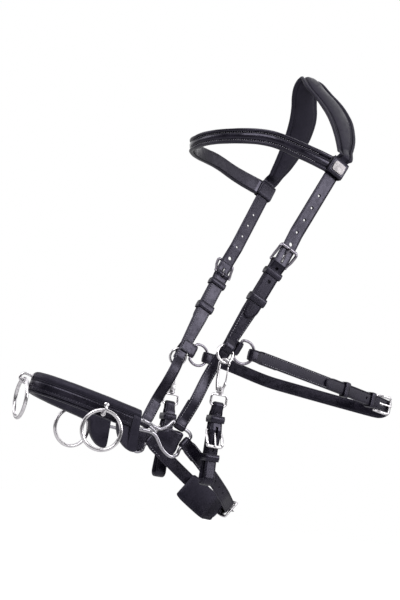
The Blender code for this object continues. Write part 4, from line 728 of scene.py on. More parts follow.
def keeper(node, place, inner, outer, width, length):
    """A leather loop round a stack of strap, skived thin and creased near both edges."""
    half_wall = fit + keeper_wall / 2
    mesh = loop_mesh(node, place, inner - half_wall, outer + half_wall, width / 2 + half_wall, keeper_wall,
                     length, keeper_crease)
    fitted(node, mesh, strap_leather)


def cheek_widths(i, point):
    """Full width to the lower keeper, then a taper to the bit ring."""
    drop = -point[1]
    first = lower_keeper_drop + 2 * keeper_length
    width = cheek_width + (lower_width - cheek_width) * within((drop - first) / (taper_drop - first))
    from_ring = within((abs(drop - ring_drop) - lower_width * 0.35) / (lower_width * 0.3))
    width = min(width, fold_width + (width - fold_width) * from_ring)
    return fold_width if drop > frame_drop - lower_width / 2 else width


rod = frame_wire + fit + leather / 2
lower_path = [(-layer, -frame_drop + frame_lap), (-layer, -frame_drop + rod + 2 * leather)]
lower_path += arc((0, -frame_drop), rod, 140, 400, 24)
lower_path += smooth([
    (layer, -frame_drop + rod + 2 * leather), (layer, -frame_drop + frame_lap + leather),
    (-layer - standoff * 0.7, -ring_drop - 2 * ring_radius * 2.3),
    (-layer - standoff, -ring_drop - 2 * ring_radius * 1.3), (-layer, -front_layer_drop + leather)], 8)
lower_path += [(-layer, -drop) for drop in (taper_drop, lower_keeper_drop + 2 * keeper_length)]
lower_path += [(x, y - chape_drop) for x, y in chape_eye()]
lower_path += [(layer, -lower_keeper_drop - 2 * keeper_length)]
bulge_shares = ((0, 0.80), (0.80, 0.33), (1, 0.04), (1, -0.27), (0.66, -0.54), (0.18, -0.70), (0, -0.95))
lower_path += smooth([(layer + ring_bulge * out, -ring_drop + ring_radius * up) for out, up in bulge_shares], 6)
lower_path = filled(lower_path + [(layer, -front_layer_drop)])
cheek_past = [(x, y - chape_drop) for x, y in over_buckle(cheek_buckle_length)]
billet_path = [(0, billet_top), (0, -first_hole), (0, -billet_release)]
billet_path += smooth([(0, -billet_release), *cheek_past], 8)[1:]
billet_path += [(billet_level, -billet_drop + tip_length * share) for share in (1, 0.8, *tip_shares)]
billet_path = filled(billet_path)
hole_drops = [first_hole + hole_pitch * i for i in range(hole_count) if i != buckled_hole]
eye_end = -bar_eye - leather
chape_slot = (-bar_eye - leather / 2, bar_eye + leather)

for side, flip in sides:
    line = flip @ cheek_line
    hinge = line @ shifted(y=-chape_drop)
    mesh = strap(side + "_billet", billet_path, pointed(billet_path, cheek_width), line)
    places = [line @ shifted(billet_under / 2 if drop > chape_drop else 0, -drop) @ turned(pi / 2, "Y")
              for drop in hole_drops]
    slot = tongue_slot(hinge, buckle_wire / 2, cheek_buckle_length * slot_share)
    mesh = cut(mesh, [hole_cutters(places, cheek_width / 2, hole_radius), slot])
    fitted(side + "_billet", mesh, strap_leather)
    mesh = strap(side + "_cheekpiece", lower_path, cheek_widths, line)
    fitted(side + "_cheekpiece", cut(mesh, [tongue_slot(hinge, *chape_slot)]), strap_leather)
    ends = (
        (lambda p: p.x > 0 and -ring_drop + ring_radius * 1.1 < p.y < -chape_drop + eye_end, -1),
        (lambda p: p.x < 0 and -front_layer_drop < p.y < -chape_drop + eye_end, -1),
        (lambda p: -frame_drop + rod + leather < p.y < -foot_seam_drop, 1),
    )
    rows = [row for where, face in ends for row in stitch_rows(lower_path, cheek_widths, line, where, face)]
    stitched(side + "_cheek_stitches", rows, side + "_cheekpiece")
    inner, outer = -layer - leather / 2, billet_level + leather / 2
    for name, drop, length in (("_upper_keeper", upper_keeper_drop, keeper_length),
                               ("_lower_keeper", lower_keeper_drop, lower_keeper_length)):
        keeper(side + name, line @ shifted(y=-drop), inner, outer, cheek_width, length)
    buckle(side + "_cheek", hinge, cheek_buckle_length, cheek_width, gunmetal)


# Behind each cheek strap a dee turns in a folded tab. The dee is bent and welded wire in gunmetal plate, and
# the tab is skived and stitched under the cheek strap.
dee_drop, dee_radius, dee_wire, dee_standoff, dee_share = 0.245, 0.0132, 0.0017, 0.0122, 0.62
tab_leather, tab_width, tab_crease = 0.0020, 0.0155, 0.0017
dee_curve, dee_straight = 124, (0.70, 0.45, 0.0, -0.45, -0.70)
dee_level = -layer - leather / 2 - fit - tab_leather / 2
dee_reach = dee_wire + fit + tab_leather / 2
dee_bar = dee_level + dee_reach
dee_centre = dee_standoff + dee_radius * dee_share


def bent(node, points, radius, finish, sides=16):
    """The finished closed wire that stands for a node."""
    fitted(node, wire(node, points, radius, finish, True, sides), finish, "steel")


for side, flip in sides:
    place = flip @ cheek_line @ shifted(y=-dee_drop) @ turned(-pi / 2, "X")
    outline = arc((dee_centre, 0), dee_radius, -dee_curve, dee_curve, 30)
    low_end = dee_centre + dee_radius * cos(radians(dee_curve + 4))
    outline += [(low_end, dee_radius * share) for share in dee_straight]
    loop = smooth([place @ Vector((dee_bar, y, z)) for y, z in outline], 3, closed=True)
    bent(side + "_jowl_dee", loop, dee_wire * 0.98, gunmetal)
    path = [(dee_level, -lower_width / 3), (dee_level, dee_standoff - dee_reach / 2)]
    path += arc((dee_bar, dee_standoff), dee_reach, 180, 0, 16)
    path = filled(path + [(dee_bar + dee_reach, dee_standoff - dee_reach)], 0.003)
    fitted(side + "_dee_tab", strap(side + "_dee_tab", path, tab_width, place, tab_leather), strap_leather)
    sewn = dee_standoff - dee_reach
    rows = stitch_rows(path, tab_width, place, lambda p: p.y < sewn, -1, tab_crease, tab_leather)
    stitched(side + "_tab_stitches", rows, side + "_dee_tab")

# A small ring hangs in the cheek strap's fold. A cast snap with a sprung gate clips into it, and under the
# snap a square eye turns on its stem. All are cast or bent, tumbled and nickel plated.
ring_tilt = radians(12)
throat, snap_wire, snap_length, snap_shank, snap_turn = 0.0040, 0.0016, 0.0270, 0.0042, radians(45)
gate_wire, swivel_height, stem_radius, head_radius = 0.0011, 0.0060, 0.0014, 0.0021
eye_width, eye_height, eye_corner, eye_wire = 0.0190, 0.0122, 0.0032, 0.0014
lathe_centre, snap_mouth = 0.00002, -20


def cast(name, points, sizes, place, sides=18):
    """A cast limb along plane points, with half sizes in the plane and across it at each."""
    rings = []
    for i, (point, (flat, deep)) in enumerate(zip(points, sizes)):
        ahead = (Vector(points[min(i + 1, len(points) - 1)]) - Vector(points[max(i - 1, 0)])).normalized()
        side_way = Vector((ahead.y, -ahead.x, 0))
        rings.append([place @ (Vector((*point, 0)) + side_way * flat * cos(a) + Vector((0, 0, deep * sin(a))))
                      for a in around(sides)])
    return meshed(name, rings)


def turned_piece(name, profile, place, sides=24):
    """A piece turned in a lathe about the place's Y, through (radius, height) pairs."""
    rings = []
    for radius, height in profile:
        r = max(radius, lathe_centre)
        rings.append([place @ Vector((r * cos(a), height, r * sin(a))) for a in around(sides)])
    return meshed(name, rings)


def joined(name, meshes):
    """Several meshes of one finish as one."""
    work = bmesh.new()
    for mesh in meshes:
        work.from_mesh(mesh)
    return shaded(plain(name, work))


swivels = {}
for side, flip in sides:
    ring_level = -layer + leather / 2 + fit + ring_wire
    swing = flip @ cheek_line @ shifted(ring_level, -ring_drop) @ turned(lean + ring_tilt, "Z")
    loop = [swing @ Vector((0, y - ring_radius, z)) for y, z in arc((0, 0), ring_radius, 0, 352.5, 47)]
    bent(side + "_bit_ring", loop, ring_wire, nickel)
    lowest = atan2(sin(rake), cos(rake) * cos(ring_tilt))
    below = Matrix.Translation((0, -ring_radius - ring_radius * cos(lowest), -ring_radius * sin(lowest)))
    plumb = turned(-ring_tilt, "Z") @ turned(rake, "X")
    swivel = swing @ below @ plumb @ shifted(y=ring_wire + 2 * fit - throat)
    hook = swivel @ turned(snap_turn, "Y")
    mean = throat + snap_wire
    path = [Vector(point) for point in arc((0, 0), mean, snap_mouth, 180, 28)]
    path += smooth([path[-1], (-mean, -0.55 * snap_length), (-mean * 0.86, -0.88 * snap_length),
                    (-mean * 0.64, -snap_length - swivel_height / 2)], 8)[1:]
    limbs = []
    for i in range(len(path)):
        share = i / (len(path) - 1)
        flat = snap_wire * (0.72 + 0.28 * min(share * 6, 1))
        limbs.append((flat, flat * (1 + 0.5 * max(share - 0.45, 0))))
    limbs[0] = (limbs[0][0] * 0.6, limbs[0][1] * 0.6)
    low, high = -snap_length - swivel_height, -snap_length
    rim, waist = snap_shank * 0.12, snap_shank * 0.90
    barrel = turned_piece("barrel", [
        (stem_radius + fit, low), (snap_shank * 0.8, low), (snap_shank, low + rim), (snap_shank, low + 3 * rim),
        (waist, low + 4 * rim), (waist, high - 4 * rim), (snap_shank, high - 3 * rim), (snap_shank, high - rim),
        (snap_shank * 0.8, high), (stem_radius + fit, high), (stem_radius + fit, low + rim)], hook)
    pivot = Vector((mean * 0.80, -0.80 * snap_length))
    lug = gate_wire * 2
    lug_line = [pivot + Vector((-lug * 0.1, lug * 0.55)), pivot, pivot + Vector((-lug * 0.2, -lug)),
                Vector((snap_shank * 0.55, -snap_length - swivel_height * 0.2))]
    lug_limbs = [(lug * 0.35, gate_wire * 0.40), (lug * 0.52, gate_wire * 0.42), (lug * 0.55, gate_wire * 0.42),
                 (lug * 0.4, gate_wire * 0.35)]
    lugs = [cast("lug", lug_line, lug_limbs, hook @ shifted(z=sign * gate_wire * 1.45), 12) for sign in (1, -1)]
    pin_place = hook @ shifted(*pivot) @ turned(pi / 2, "X")
    pin = turned_piece("pin", [(gate_wire * 0.45, -lug), (gate_wire * 0.45, lug)], pin_place, 12)
    hook_mesh = joined("hook", [cast("hook", path, limbs, hook), barrel, pin, *lugs])
    fitted(side + "_snap_hook", hook_mesh, nickel, "steel")
    tip = path[0] + Vector((-gate_wire / 3, -gate_wire))
    halfway = pivot.lerp(tip, 0.5) + Vector((gate_wire * 0.25, 0))
    gate_line = smooth([pivot + Vector((0, -gate_wire * 1.3)), pivot, halfway, tip], 6)
    last = len(gate_line) - 1
    gate_limbs = [(gate_wire * (1.25 - 0.55 * min(i / 9, 1)) * (0.6 if i in (0, last) else 1), gate_wire * 0.7)
                  for i in range(last + 1)]
    fitted(side + "_snap_gate", cast("gate", gate_line, gate_limbs, hook, 14), nickel, "steel")
    bar_top = low - fit - eye_wire
    bar_low = bar_top - eye_height
    half = eye_width / 2
    corners = ((half - eye_corner, bar_top - eye_corner, 0), (eye_corner - half, bar_top - eye_corner, 90),
               (eye_corner - half, bar_low + eye_corner, 180), (half - eye_corner, bar_low + eye_corner, 270))
    outline = [swivel @ Vector((0, y, z)) for cz, cy, first in corners
               for z, y in arc((cz, cy), eye_corner, first, first + 90, 8)]
    square = wire("eye", outline, eye_wire * 0.98, nickel, True)
    stem_top = -snap_length + fit
    stem = turned_piece("stem", [
        (0, bar_top - eye_wire * 0.5), (stem_radius * 1.9, bar_top), (stem_radius, bar_top + eye_wire),
        (stem_radius, stem_top), (head_radius, stem_top), (head_radius, stem_top + head_radius * 0.3),
        (head_radius * 0.6, stem_top + head_radius * 0.55), (0, stem_top + head_radius * 0.6)], swivel, 18)
    fitted(side + "_snap_eye", joined("eye", [square, stem]), nickel, "steel")
    swivels[side] = swivel @ shifted(y=bar_low)

# Each bit strap is folded round the eye, buckled upwards with its tip under the top keeper, and ends below in
# the loop that takes the bit's ring.
bit_width, bit_end_width, bit_buckle_length, bit_slot_share = 0.0132, 0.0120, 0.0170, 0.62
bit_hinge_drop, bit_keeper_drop, bit_tip_drop = 0.0280, 0.0580, 0.0080
bit_loop_radius, bit_loop_drop, bit_crease = 0.0066, 0.0810, 0.0016
eye_rod = eye_wire + fit + leather / 2
back = -behind_eye
bit_chape = [(x, -y - bit_hinge_drop) for x, y in chape_eye()]
bit_past = [(x, -y - bit_hinge_drop) for x, y in over_buckle(bit_buckle_length)]
bit_loop = (-(bit_loop_radius + back) / 4, -bit_loop_drop)
bit_path = bit_chape + [(layer, -eye_rod - 2 * leather)] + arc((0, 0), eye_rod, 0, 180, 20)
bit_path += [(back, -eye_rod - 3 * leather), (back, -bit_keeper_drop)]
bit_path += smooth([(back, -bit_keeper_drop), (bit_loop[0] - bit_loop_radius, bit_loop[1])], 6)[1:-1]
bit_path += arc(bit_loop, bit_loop_radius, 180, 360, 24)
bit_path += smooth([bit_path[-1], (billet_under, -bit_keeper_drop), *bit_past], 8)[1:]
bit_path += [(billet_level, -bit_tip_drop - tip_length * share) for share in tip_shares]
bit_path = filled(bit_path, 0.003)
bit_narrow = pointed(bit_path, bit_width)


def bit_widths(i, point):
    """Narrow in the snap's eye, and pointed at the tip."""
    close = abs(point[1]) < eye_rod + leather and point[0] < billet_under
    return bit_end_width if close else bit_narrow(i, point)


for side, flip in sides:
    swing = swivels[side]
    hinge = swing @ shifted(y=-bit_hinge_drop) @ turned(pi, "X")
    mesh = strap(side + "_bit_strap", bit_path, bit_widths, swing, crease=bit_crease)
    hole_drop = bit_hinge_drop + bit_buckle_length + 2 * hole_radius
    hole = swing @ shifted(billet_under, -hole_drop) @ turned(pi / 2, "Y")
    slot = tongue_slot(hinge, chape_slot[0], bit_buckle_length * bit_slot_share)
    mesh = cut(mesh, [slot, hole_cutters([hole], cheek_width / 2, hole_radius)])
    fitted(side + "_bit_strap", mesh, strap_leather)
    rows = stitch_rows(bit_path, bit_widths, swing,
                       lambda p: p.x < 0 and -bit_keeper_drop < p.y < -eye_rod - 3 * leather, 1, bit_crease)
    stitched(side + "_bit_stitches", rows, side + "_bit_strap")
    buckle(side + "_bit", hinge, bit_buckle_length, bit_width, nickel)
    upper_drop = bit_hinge_drop - bar_eye - 2 * leather - fit - keeper_length / 2
    keeper(side + "_bit_upper_keeper", swing @ shifted(y=-upper_drop),
           back - leather / 2, billet_level + leather / 2, bit_width, keeper_length)
    keeper(side + "_bit_lower_keeper", swing @ shifted(y=-bit_keeper_drop),
           back - leather, billet_under + leather, bit_width, keeper_length)


# The jowl strap runs from dee to dee round the back of the jaw. Its far half comes round and is buckled over
# the stitched near half, with two keepers and a creased point.
jowl_width, jowl_end_width, jowl_tilt = 0.015, 0.0125, radians(5.7)
jowl_bend, jowl_hinge = Vector((0.037, 0.141)), Vector((0.0155, 0.2140))
jowl_turn, jowl_sag, jowl_gap, jowl_lap = 0.0130, 0.0075, 0.0045, 0.026
jowl_tip, jowl_buckle_length, jowl_hole_share = 0.53, 0.0190, 0.86
jowl_keepers = (("jowl_front_keeper", 0.645), ("jowl_rear_keeper", 0.925))
jowl_sewn, jowl_fold_share, jowl_chape_share, jowl_join = (0.02, 0.50), 0.12, 0.96, 0.93
point_shares = (0.3, 0.5, 0.66, 0.8, 0.9, 0.96, 1)


def on_line(controls, share, level=0.0):
    """A point of a Bezier line, moved to the right of its direction, and the direction there."""

    def at(part):
        """The line's own point at a share of it."""
        points = [Vector(point) for point in controls]
        while len(points) > 1:
            points = [a.lerp(b, part) for a, b in zip(points, points[1:])]
        return points[0]

    step = 1 / len(controls) ** 3
    ahead = (at(min(share + step, 1)) - at(max(share - step, 0))).normalized()
    return at(share) + level * Vector((ahead.y, -ahead.x)), ahead


def followed(controls, level, first, last, steps):
    """Points along a line between two shares of it."""
    return [on_line(controls, first + (last - first) * i / steps, level)[0] for i in range(steps + 1)]


def flipped(path):
    """The path on the other side of the head."""
    return [(-point[0], point[1]) for point in path]


def heading(origin, direction):
    """The plane frame at a point whose local Y runs along a direction and whose X lies to the right of it."""
    x, y = Vector(direction).normalized()
    return Matrix.Translation((*origin, 0)) @ Matrix(((y, x, 0, 0), (-x, y, 0, 0), (0, 0, 1, 0), (0, 0, 0, 1)))


def carried_into(points, matrix):
    """Plane points moved by a plane frame."""
    return [(matrix @ Vector((point[0], point[1], 0))).to_2d() for point in points]


dee_at = cheek_line @ Vector((dee_bar, -dee_drop, -dee_centre))
jowl_place = Matrix.Translation((0, dee_at.y, dee_at.z)) @ turned(-jowl_tilt, "X")
nearest = sqrt(dee_radius**2 - (jowl_end_width / 2) ** 2)
tail = dee_radius + dee_wire + slack
fold_end = nearest - dee_wire - 2 * slack - leather / 2
jowl_fold = [(dee_at.x - jowl_gap, tail), *arc((dee_at.x, fold_end + jowl_gap), jowl_gap, -160, -20, 20),
             (dee_at.x + jowl_gap, tail)]
jowl_line = [(dee_at.x, tail + 2 * leather), jowl_bend, jowl_hinge]
jowl_lap_path = followed(jowl_line, -layer, jowl_fold_share, 0, 10)
hinge_at, hinge_way = on_line(jowl_line, 1)
jowl_heading = heading(hinge_at, hinge_way)
jowl_bar = jowl_place @ jowl_heading
narrow_end = tail + leather


def eased(low, high, value):
    """A share that rises smoothly from 0 to 1 while a value runs from low to high."""
    share = within((value - low) / (high - low))
    return share * share * (3 - 2 * share)


def jowl_widths(i, point):
    """Narrow in the dee, then full."""
    full = eased(narrow_end - leather, narrow_end + 2 * leather, point[1])
    return jowl_end_width + (jowl_width - jowl_end_width) * full


near_path = smooth(jowl_lap_path[-2:] + jowl_fold[:1], 4)[4:-1]
jowl_near = jowl_lap_path + near_path[1:] + smooth(jowl_fold, 3)
jowl_near += followed(jowl_line, layer, 0, jowl_chape_share, 40)
jowl_near += list(reversed(carried_into(chape_eye(), jowl_heading)))
jowl_near += followed(jowl_line, -layer, jowl_chape_share, 1 - jowl_lap / jowl_hinge[1], 6)[1:]
jowl_near = filled(jowl_near, 0.003)
mesh = strap("jowl_near_strap", jowl_near, jowl_widths, jowl_place)
fitted("jowl_near_strap", cut(mesh, [tongue_slot(jowl_bar, *chape_slot)]), strap_leather)


def outside_jowl(point):
    """Whether a point of the near half lies on its outer layer, between its fold and the far half's tip."""
    shares = (step / 40 for step in range(41))
    share = min(shares, key=lambda part: (on_line(jowl_line, part)[0] - point).length)
    at, ahead = on_line(jowl_line, share)
    outer = (point - at).dot(Vector((ahead.y, -ahead.x))) > 0
    return outer and point.y > narrow_end and jowl_sewn[0] < share < jowl_sewn[1]


rows = stitch_rows(jowl_near, jowl_widths, jowl_place, outside_jowl)
stitched("jowl_stitches", rows, "jowl_near_strap")
buckle("jowl", jowl_bar, jowl_buckle_length, jowl_width, nickel)

jowl_past = carried_into(over_buckle(jowl_buckle_length), jowl_heading)
turn_centre = jowl_past[0] - jowl_turn * Vector((cos(radians(20)), sin(radians(20))))
turn_path = smooth([Vector(p) for p in arc(turn_centre, jowl_turn, 165, 40, 5)] + jowl_past, 6)
beside = followed(jowl_line, billet_level, jowl_join, jowl_tip, 30)
tip, away = on_line(jowl_line, jowl_tip, billet_level)
jowl_point = [tip - away * tip_length * share for share in point_shares]
jowl_far = flipped(jowl_lap_path + smooth(jowl_fold, 3) + followed(jowl_line, layer, 0, 1, 40))
jowl_far = filled(jowl_far + turn_path + beside + jowl_point, 0.003)
jowl_tapered = pointed(jowl_far, jowl_width)
sag_start, sag_low, sag_full = tail + 2 * leather, jowl_hinge[1] * 0.5, turn_centre.y - jowl_width


def jowl_far_widths(i, point):
    """Narrow in the dee and pointed at the tip."""
    return min(jowl_widths(i, point), jowl_tapered(i, point))


def jowl_drop(point):
    """How far the far half sags below the near one, nothing where it has come round."""
    x, y = point
    if not (x < jowl_turn and y > sag_start) or (x > 0 and y < turn_centre.y):
        return 0.0
    come_round = eased(-jowl_turn, jowl_turn, x) if y > sag_full else 0
    return -jowl_sag * eased(sag_start, sag_low, y) * (1 - come_round)


mesh = strap("jowl_far_strap", jowl_far, jowl_far_widths, jowl_place)
ring_size = len(strap_section(jowl_width, leather, crease_in, crease_deep))
for i, point in enumerate(jowl_far):
    fall = jowl_place.to_3x3() @ Vector((0, 0, jowl_drop(point)))
    for vertex in mesh.vertices[i * ring_size:(i + 1) * ring_size]:
        vertex.co += fall
at, toward = on_line(jowl_line, jowl_hole_share, billet_level)
hole = jowl_place @ heading(at, toward) @ turned(pi / 2, "Y")
slot = tongue_slot(jowl_bar, buckle_wire / 2, jowl_buckle_length * slot_share)
fitted("jowl_far_strap", cut(mesh, [slot, hole_cutters([hole], leather * 0.9, hole_radius)]), strap_leather)
for name, share in jowl_keepers:
    at, toward = on_line(jowl_line, share)
    over_lap = share > 1 - jowl_lap / jowl_hinge[1]
    inner = (-layer if over_lap else layer) - leather / 2 - fit / 2
    outer = billet_level + leather / 2 + fit
    keeper(name, jowl_place @ heading(at, toward), inner, outer, jowl_width, keeper_length)


# The headpiece is a padded crown, broad behind the ears and cut back over the poll. Soft leather is drawn
# over felt between two piped edges, and a thin tail at each end runs down inside the browband's loop.
pad_leather = leather_finish(
    "crown_leather", "pad_leather", (0.0078, 0.0070, 0.0128), (0.0138, 0.0124, 0.0202), 0.46, 1300.0, 0.00003,
    sheen=0.04, specular=0.22)
poll_half, poll_depth, poll_thick, poll_tail = 0.0915, 0.112, 0.0085, 0.0036
poll_root, poll_neck, poll_end, poll_set_back = 0.0130, 0.0080, -0.0105, 0.0020
poll_shares = (
    (0.000, 0.038, -0.075, 0.160), (0.095, -0.012, -0.085, 0.205), (0.190, -0.105, -0.065, 0.260),
    (0.373, -0.281, 0.030, 0.370), (0.576, -0.486, 0.090, 0.405), (0.792, -0.733, 0.105, 0.360),
    (0.925, -0.905, 0.100, 0.285),
)
piping, face_keys, lining_keys, groove_key, firm_rings, sewn_rings = 0.0021, 8, 7, 13, 20, 18
skin_mass, skin_pressure, skin_frames = 0.002, 4.0, 20
felt_give, felt_patch, crown_puff = 0.00022, 0.016, 0.0016


def piped_section(half, thick, bead):
    """A crowned pad between two piped edges, and its softer lining, as (across, outwards)."""
    inner, level = half - 2.15 * bead, thick * 0.05
    welt = min(bead * 0.55, inner * 0.1)
    foot = level + welt * 0.4
    right = [((inner - 2 * welt) * s, foot + (thick / 2 - foot) * (1 - s**3.4) ** 0.62)
             for s in (0, 0.2, 0.4, 0.55, 0.68, 0.79, 0.88, 0.94, 0.98)]
    right += [(inner - welt + welt * cos(radians(a)), level + welt * (0.1 + sin(radians(a))))
              for a in (200, 145, 90, 35, -20)]
    right.append((inner + bead * 0.10, level - bead * 0.35))
    right += [(half - bead + bead * cos(radians(a)), level + bead * sin(radians(a)))
              for a in range(165, -76, -20)]
    right += [(inner + bead * 0.05, -thick * 0.22)]
    right += [((inner - bead * 0.2) * s, -thick * 0.20 - thick * 0.30 * (1 - s**6) ** 0.6)
              for s in (1.0, 0.97, 0.92, 0.82, 0.66, 0.45, 0.2)]
    return right + [(-u, v) for u, v in reversed(right[1:])]


def section_rings(stations, bead):
    """Piped rings through stations."""
    rings = []
    for *places, half, thick in stations:
        centre = Vector(places[:3])
        across, out = Vector(places[3:6]).normalized(), Vector(places[6:]).normalized()
        section = piped_section(half, thick, min(bead, thick * 0.36))
        rings.append([centre + across * u + out * v for u, v in section])
    return rings


def station(centre, across, out, half, thick):
    """A pad's centre, its ways across and out, half its width and its thickness, as one vector."""
    return Vector((*centre, *across, *out, half, thick))


def worked(mesh, amount, size):
    """Soft unevenness, as felt gives under leather."""
    normals = [normal.vector.copy() for normal in mesh.vertex_normals]
    for vertex, normal in zip(mesh.vertices, normals):
        at = vertex.co / size
        vertex.co += normal * amount * (noise.noise(at) + 0.5 * noise.noise(at * 2.3))
    return mesh


def puffed(mesh, firm, most):
    """A pad's skin blown up as cloth over its felt: firm seams hold, and no point moves further than most."""
    before = [vertex.co.copy() for vertex in mesh.vertices]
    skin = bpy.data.objects.new("skin", mesh)
    bpy.context.scene.collection.objects.link(skin)
    seams = skin.vertex_groups.new(name="seams")
    seams.add([i for i, held in enumerate(firm) if held], 1.0, "REPLACE")
    modifier = skin.modifiers.new("filling", "CLOTH")
    cloth = modifier.settings
    cloth.vertex_group_mass = "seams"
    cloth.mass = skin_mass
    cloth.use_pressure = True
    cloth.uniform_pressure_force = skin_pressure
    cloth.effector_weights.gravity = 0
    cloth.tension_stiffness = cloth.compression_stiffness = 4
    cloth.bending_stiffness = 0.05
    modifier.point_cache.frame_start, modifier.point_cache.frame_end = 1, skin_frames
    for number in range(1, skin_frames + 1):
        bpy.context.scene.frame_set(number)
    made = bpy.data.meshes.new_from_object(skin.evaluated_get(bpy.context.evaluated_depsgraph_get()))
    bpy.data.objects.remove(skin)
    bpy.context.scene.frame_set(1)
    for vertex, rest in zip(made.vertices, before):
        rise = vertex.co - rest
        vertex.co = rest + rise * min(1, most / max(rise.length, fit / 100))
    return outwards(made)


knots = [Vector((poll_half * x, poll_depth * z, poll_depth * front, poll_depth * rear))
         for x, z, front, rear in poll_shares]
middle_line = smooth([Vector((-k[0], k[1], k[2], k[3])) for k in reversed(knots[1:])] + knots, 3)
crown = []
for i, (x, z, front, rear) in enumerate(middle_line):
    before, after = middle_line[max(i - 1, 0)], middle_line[min(i + 1, len(middle_line) - 1)]
    run = Vector((after[0] - before[0], 0, after[1] - before[1])).normalized()
    centre, half = (x, (front + rear) / 2, z), (rear - front) / 2
    crown.append(station(centre, (0, 1, 0), (-run.z, 0, run.x), half, poll_thick))
down, backwards, outside = (hanging.to_3x3() @ Vector(way) for way in ((0, -1, 0), (0, 0, -1), (1, 0, 0)))
tails = []
tail_shares = ((poll_root, poll_set_back, 0.62, 1.1), (poll_neck, fit, 0, 0.97), (0, fit, 0, 0.97),
               (poll_end, 0, 0, 0.97))
for height, shift, share, wide in tail_shares:
    thick = poll_tail + (poll_thick - poll_tail) * share
    level = leather / 2 + fit + thick / 2
    centre = cheek_top + outside * level - down * height + backwards * shift
    tails.append(station(centre, backwards, outside, (cheek_width / 2 - fit) * wide, thick))
mirror_x = (-1, 1, 1) * 3 + (1, 1)
others = [Vector([value * sign for value, sign in zip(tail, mirror_x)]) for tail in reversed(tails)]
crown_rings = section_rings(smooth(others + crown + tails, 4), piping)
crown_size, crown_count = len(crown_rings[0]), len(crown_rings)


def felt_backed(key, size):
    """Whether a point of a piped section lies on the face or the lining, clear of the seams."""
    on_face = key < face_keys or key > size - face_keys
    return on_face or abs(key - size // 2) < lining_keys


def firm_seams(size, count, start, end, soft):
    """Whether each point of a pad is held: at its start and its end, and where a ring's point isn't soft."""
    total = size * count
    return [not soft(point % size) or not start <= point < total - end for point in range(total)]


def between_seams(pairs):
    """A test of whether a ring's point lies between the points of any pair."""
    return lambda key: any(low < key < high for low, high in pairs)


held = firm_rings * crown_size
firm = firm_seams(crown_size, crown_count, held + 1, held, lambda key: felt_backed(key, crown_size))
crown_skin = puffed(meshed("headpiece", crown_rings), firm, crown_puff)
headpiece = fitted("headpiece_pad", worked(crown_skin, felt_give, felt_patch), pad_leather)
black_thread = thread_finish("black_thread", "pad_leather", (0.030, 0.028, 0.036))
seam_rings = crown_rings[sewn_rings:-sewn_rings]
rows = [[ring[key] for ring in seam_rings] for key in (groove_key, crown_size - groove_key)]
stitched("crown_stitches", rows, "headpiece_pad", black_thread)

# The browband is a stitched roll over a ridge and a lower piping, lined with soft leather that creases inside
# the curve. A leather loop at each end takes the headpiece and the billet, and a bare plate is pinned on the
# near one.
brow_half, brow_reach, brow_start, brow_drop, brow_arch = 0.088, 0.137, 0.0045, 0.1215, 0.0150
brow_height, brow_front, brow_thick, lining_thick = 0.0200, 0.0165, 0.0072, 0.0014
brow_end, brow_shear = radians(2.15), 0.25
brow_rise = smooth(((0, 0), (0.19, 0.52), (0.39, 1), (0.67, 0.80), (1, 0.55)), 12)
brow_section = smooth((
    (1, 0), (0.93, 0.40), (0.76, 0.5), (0.58, 0.40), (0.48, 0.10), (0.36, 0.26), (0.02, 0.37), (-0.36, 0.24),
    (-0.54, 0.02), (-0.66, 0.26), (-0.82, 0.32), (-0.97, 0.10), (-1, -0.2), (-0.8, -0.5), (0, -0.5),
    (0.8, -0.5), (0.98, -0.3)), 4, closed=True)
loop_length, loop_wall, loop_drop = 0.021, 0.0022, 0.004
loop_crease, plate_length, plate_height, plate_thick, plate_edge = 0.0018, 0.0150, 0.0120, 0.0012, 0.00035
lining_section = (
    (0.82, 0), (0.80, 0.45), (0.4, 0.5), (0, 0.5), (-0.4, 0.5), (-0.80, 0.45), (-0.82, 0), (-0.78, -0.45),
    (-0.52, -0.62), (-0.26, -0.68), (0, -0.7), (0.26, -0.68), (0.52, -0.62), (0.78, -0.45),
)
lining_crease, lining_wave = 0.00055, (0.42, 1.6, 3)
brow_seams, brow_puff, brow_give, brow_patch = ((0.47, 0.155), (-0.54, 0.075)), 0.0006, 0.00014, 0.013
brow_rolls, brow_firm_rings = ((1, 14), (18, 30), (34, 46)), 8


def brow_station(angle):
    """The browband's centre, its way up and out and half its height, where its oval passes an angle."""
    share = min(angle, pi - angle) / (pi / 2)
    before = max((p for p in brow_rise if p[0] <= share), key=lambda p: p[0])
    after = min((p for p in brow_rise if p[0] >= share), key=lambda p: p[0])
    part = (share - before[0]) / max(after[0] - before[0], fit)
    rise = brow_arch * (before[1] + (after[1] - before[1]) * part)
    centre = Vector((brow_half * cos(angle), brow_start - brow_reach * sin(angle), rise - brow_drop))
    out = Vector((cos(angle) / brow_half, -sin(angle) / brow_reach, 0)).normalized()
    tall = (brow_height + (brow_front - brow_height) * sin(angle) ** 2) / 2
    return centre, Vector((0, sin(rake) * max(1 - share / brow_shear, 0), 1)), out, tall


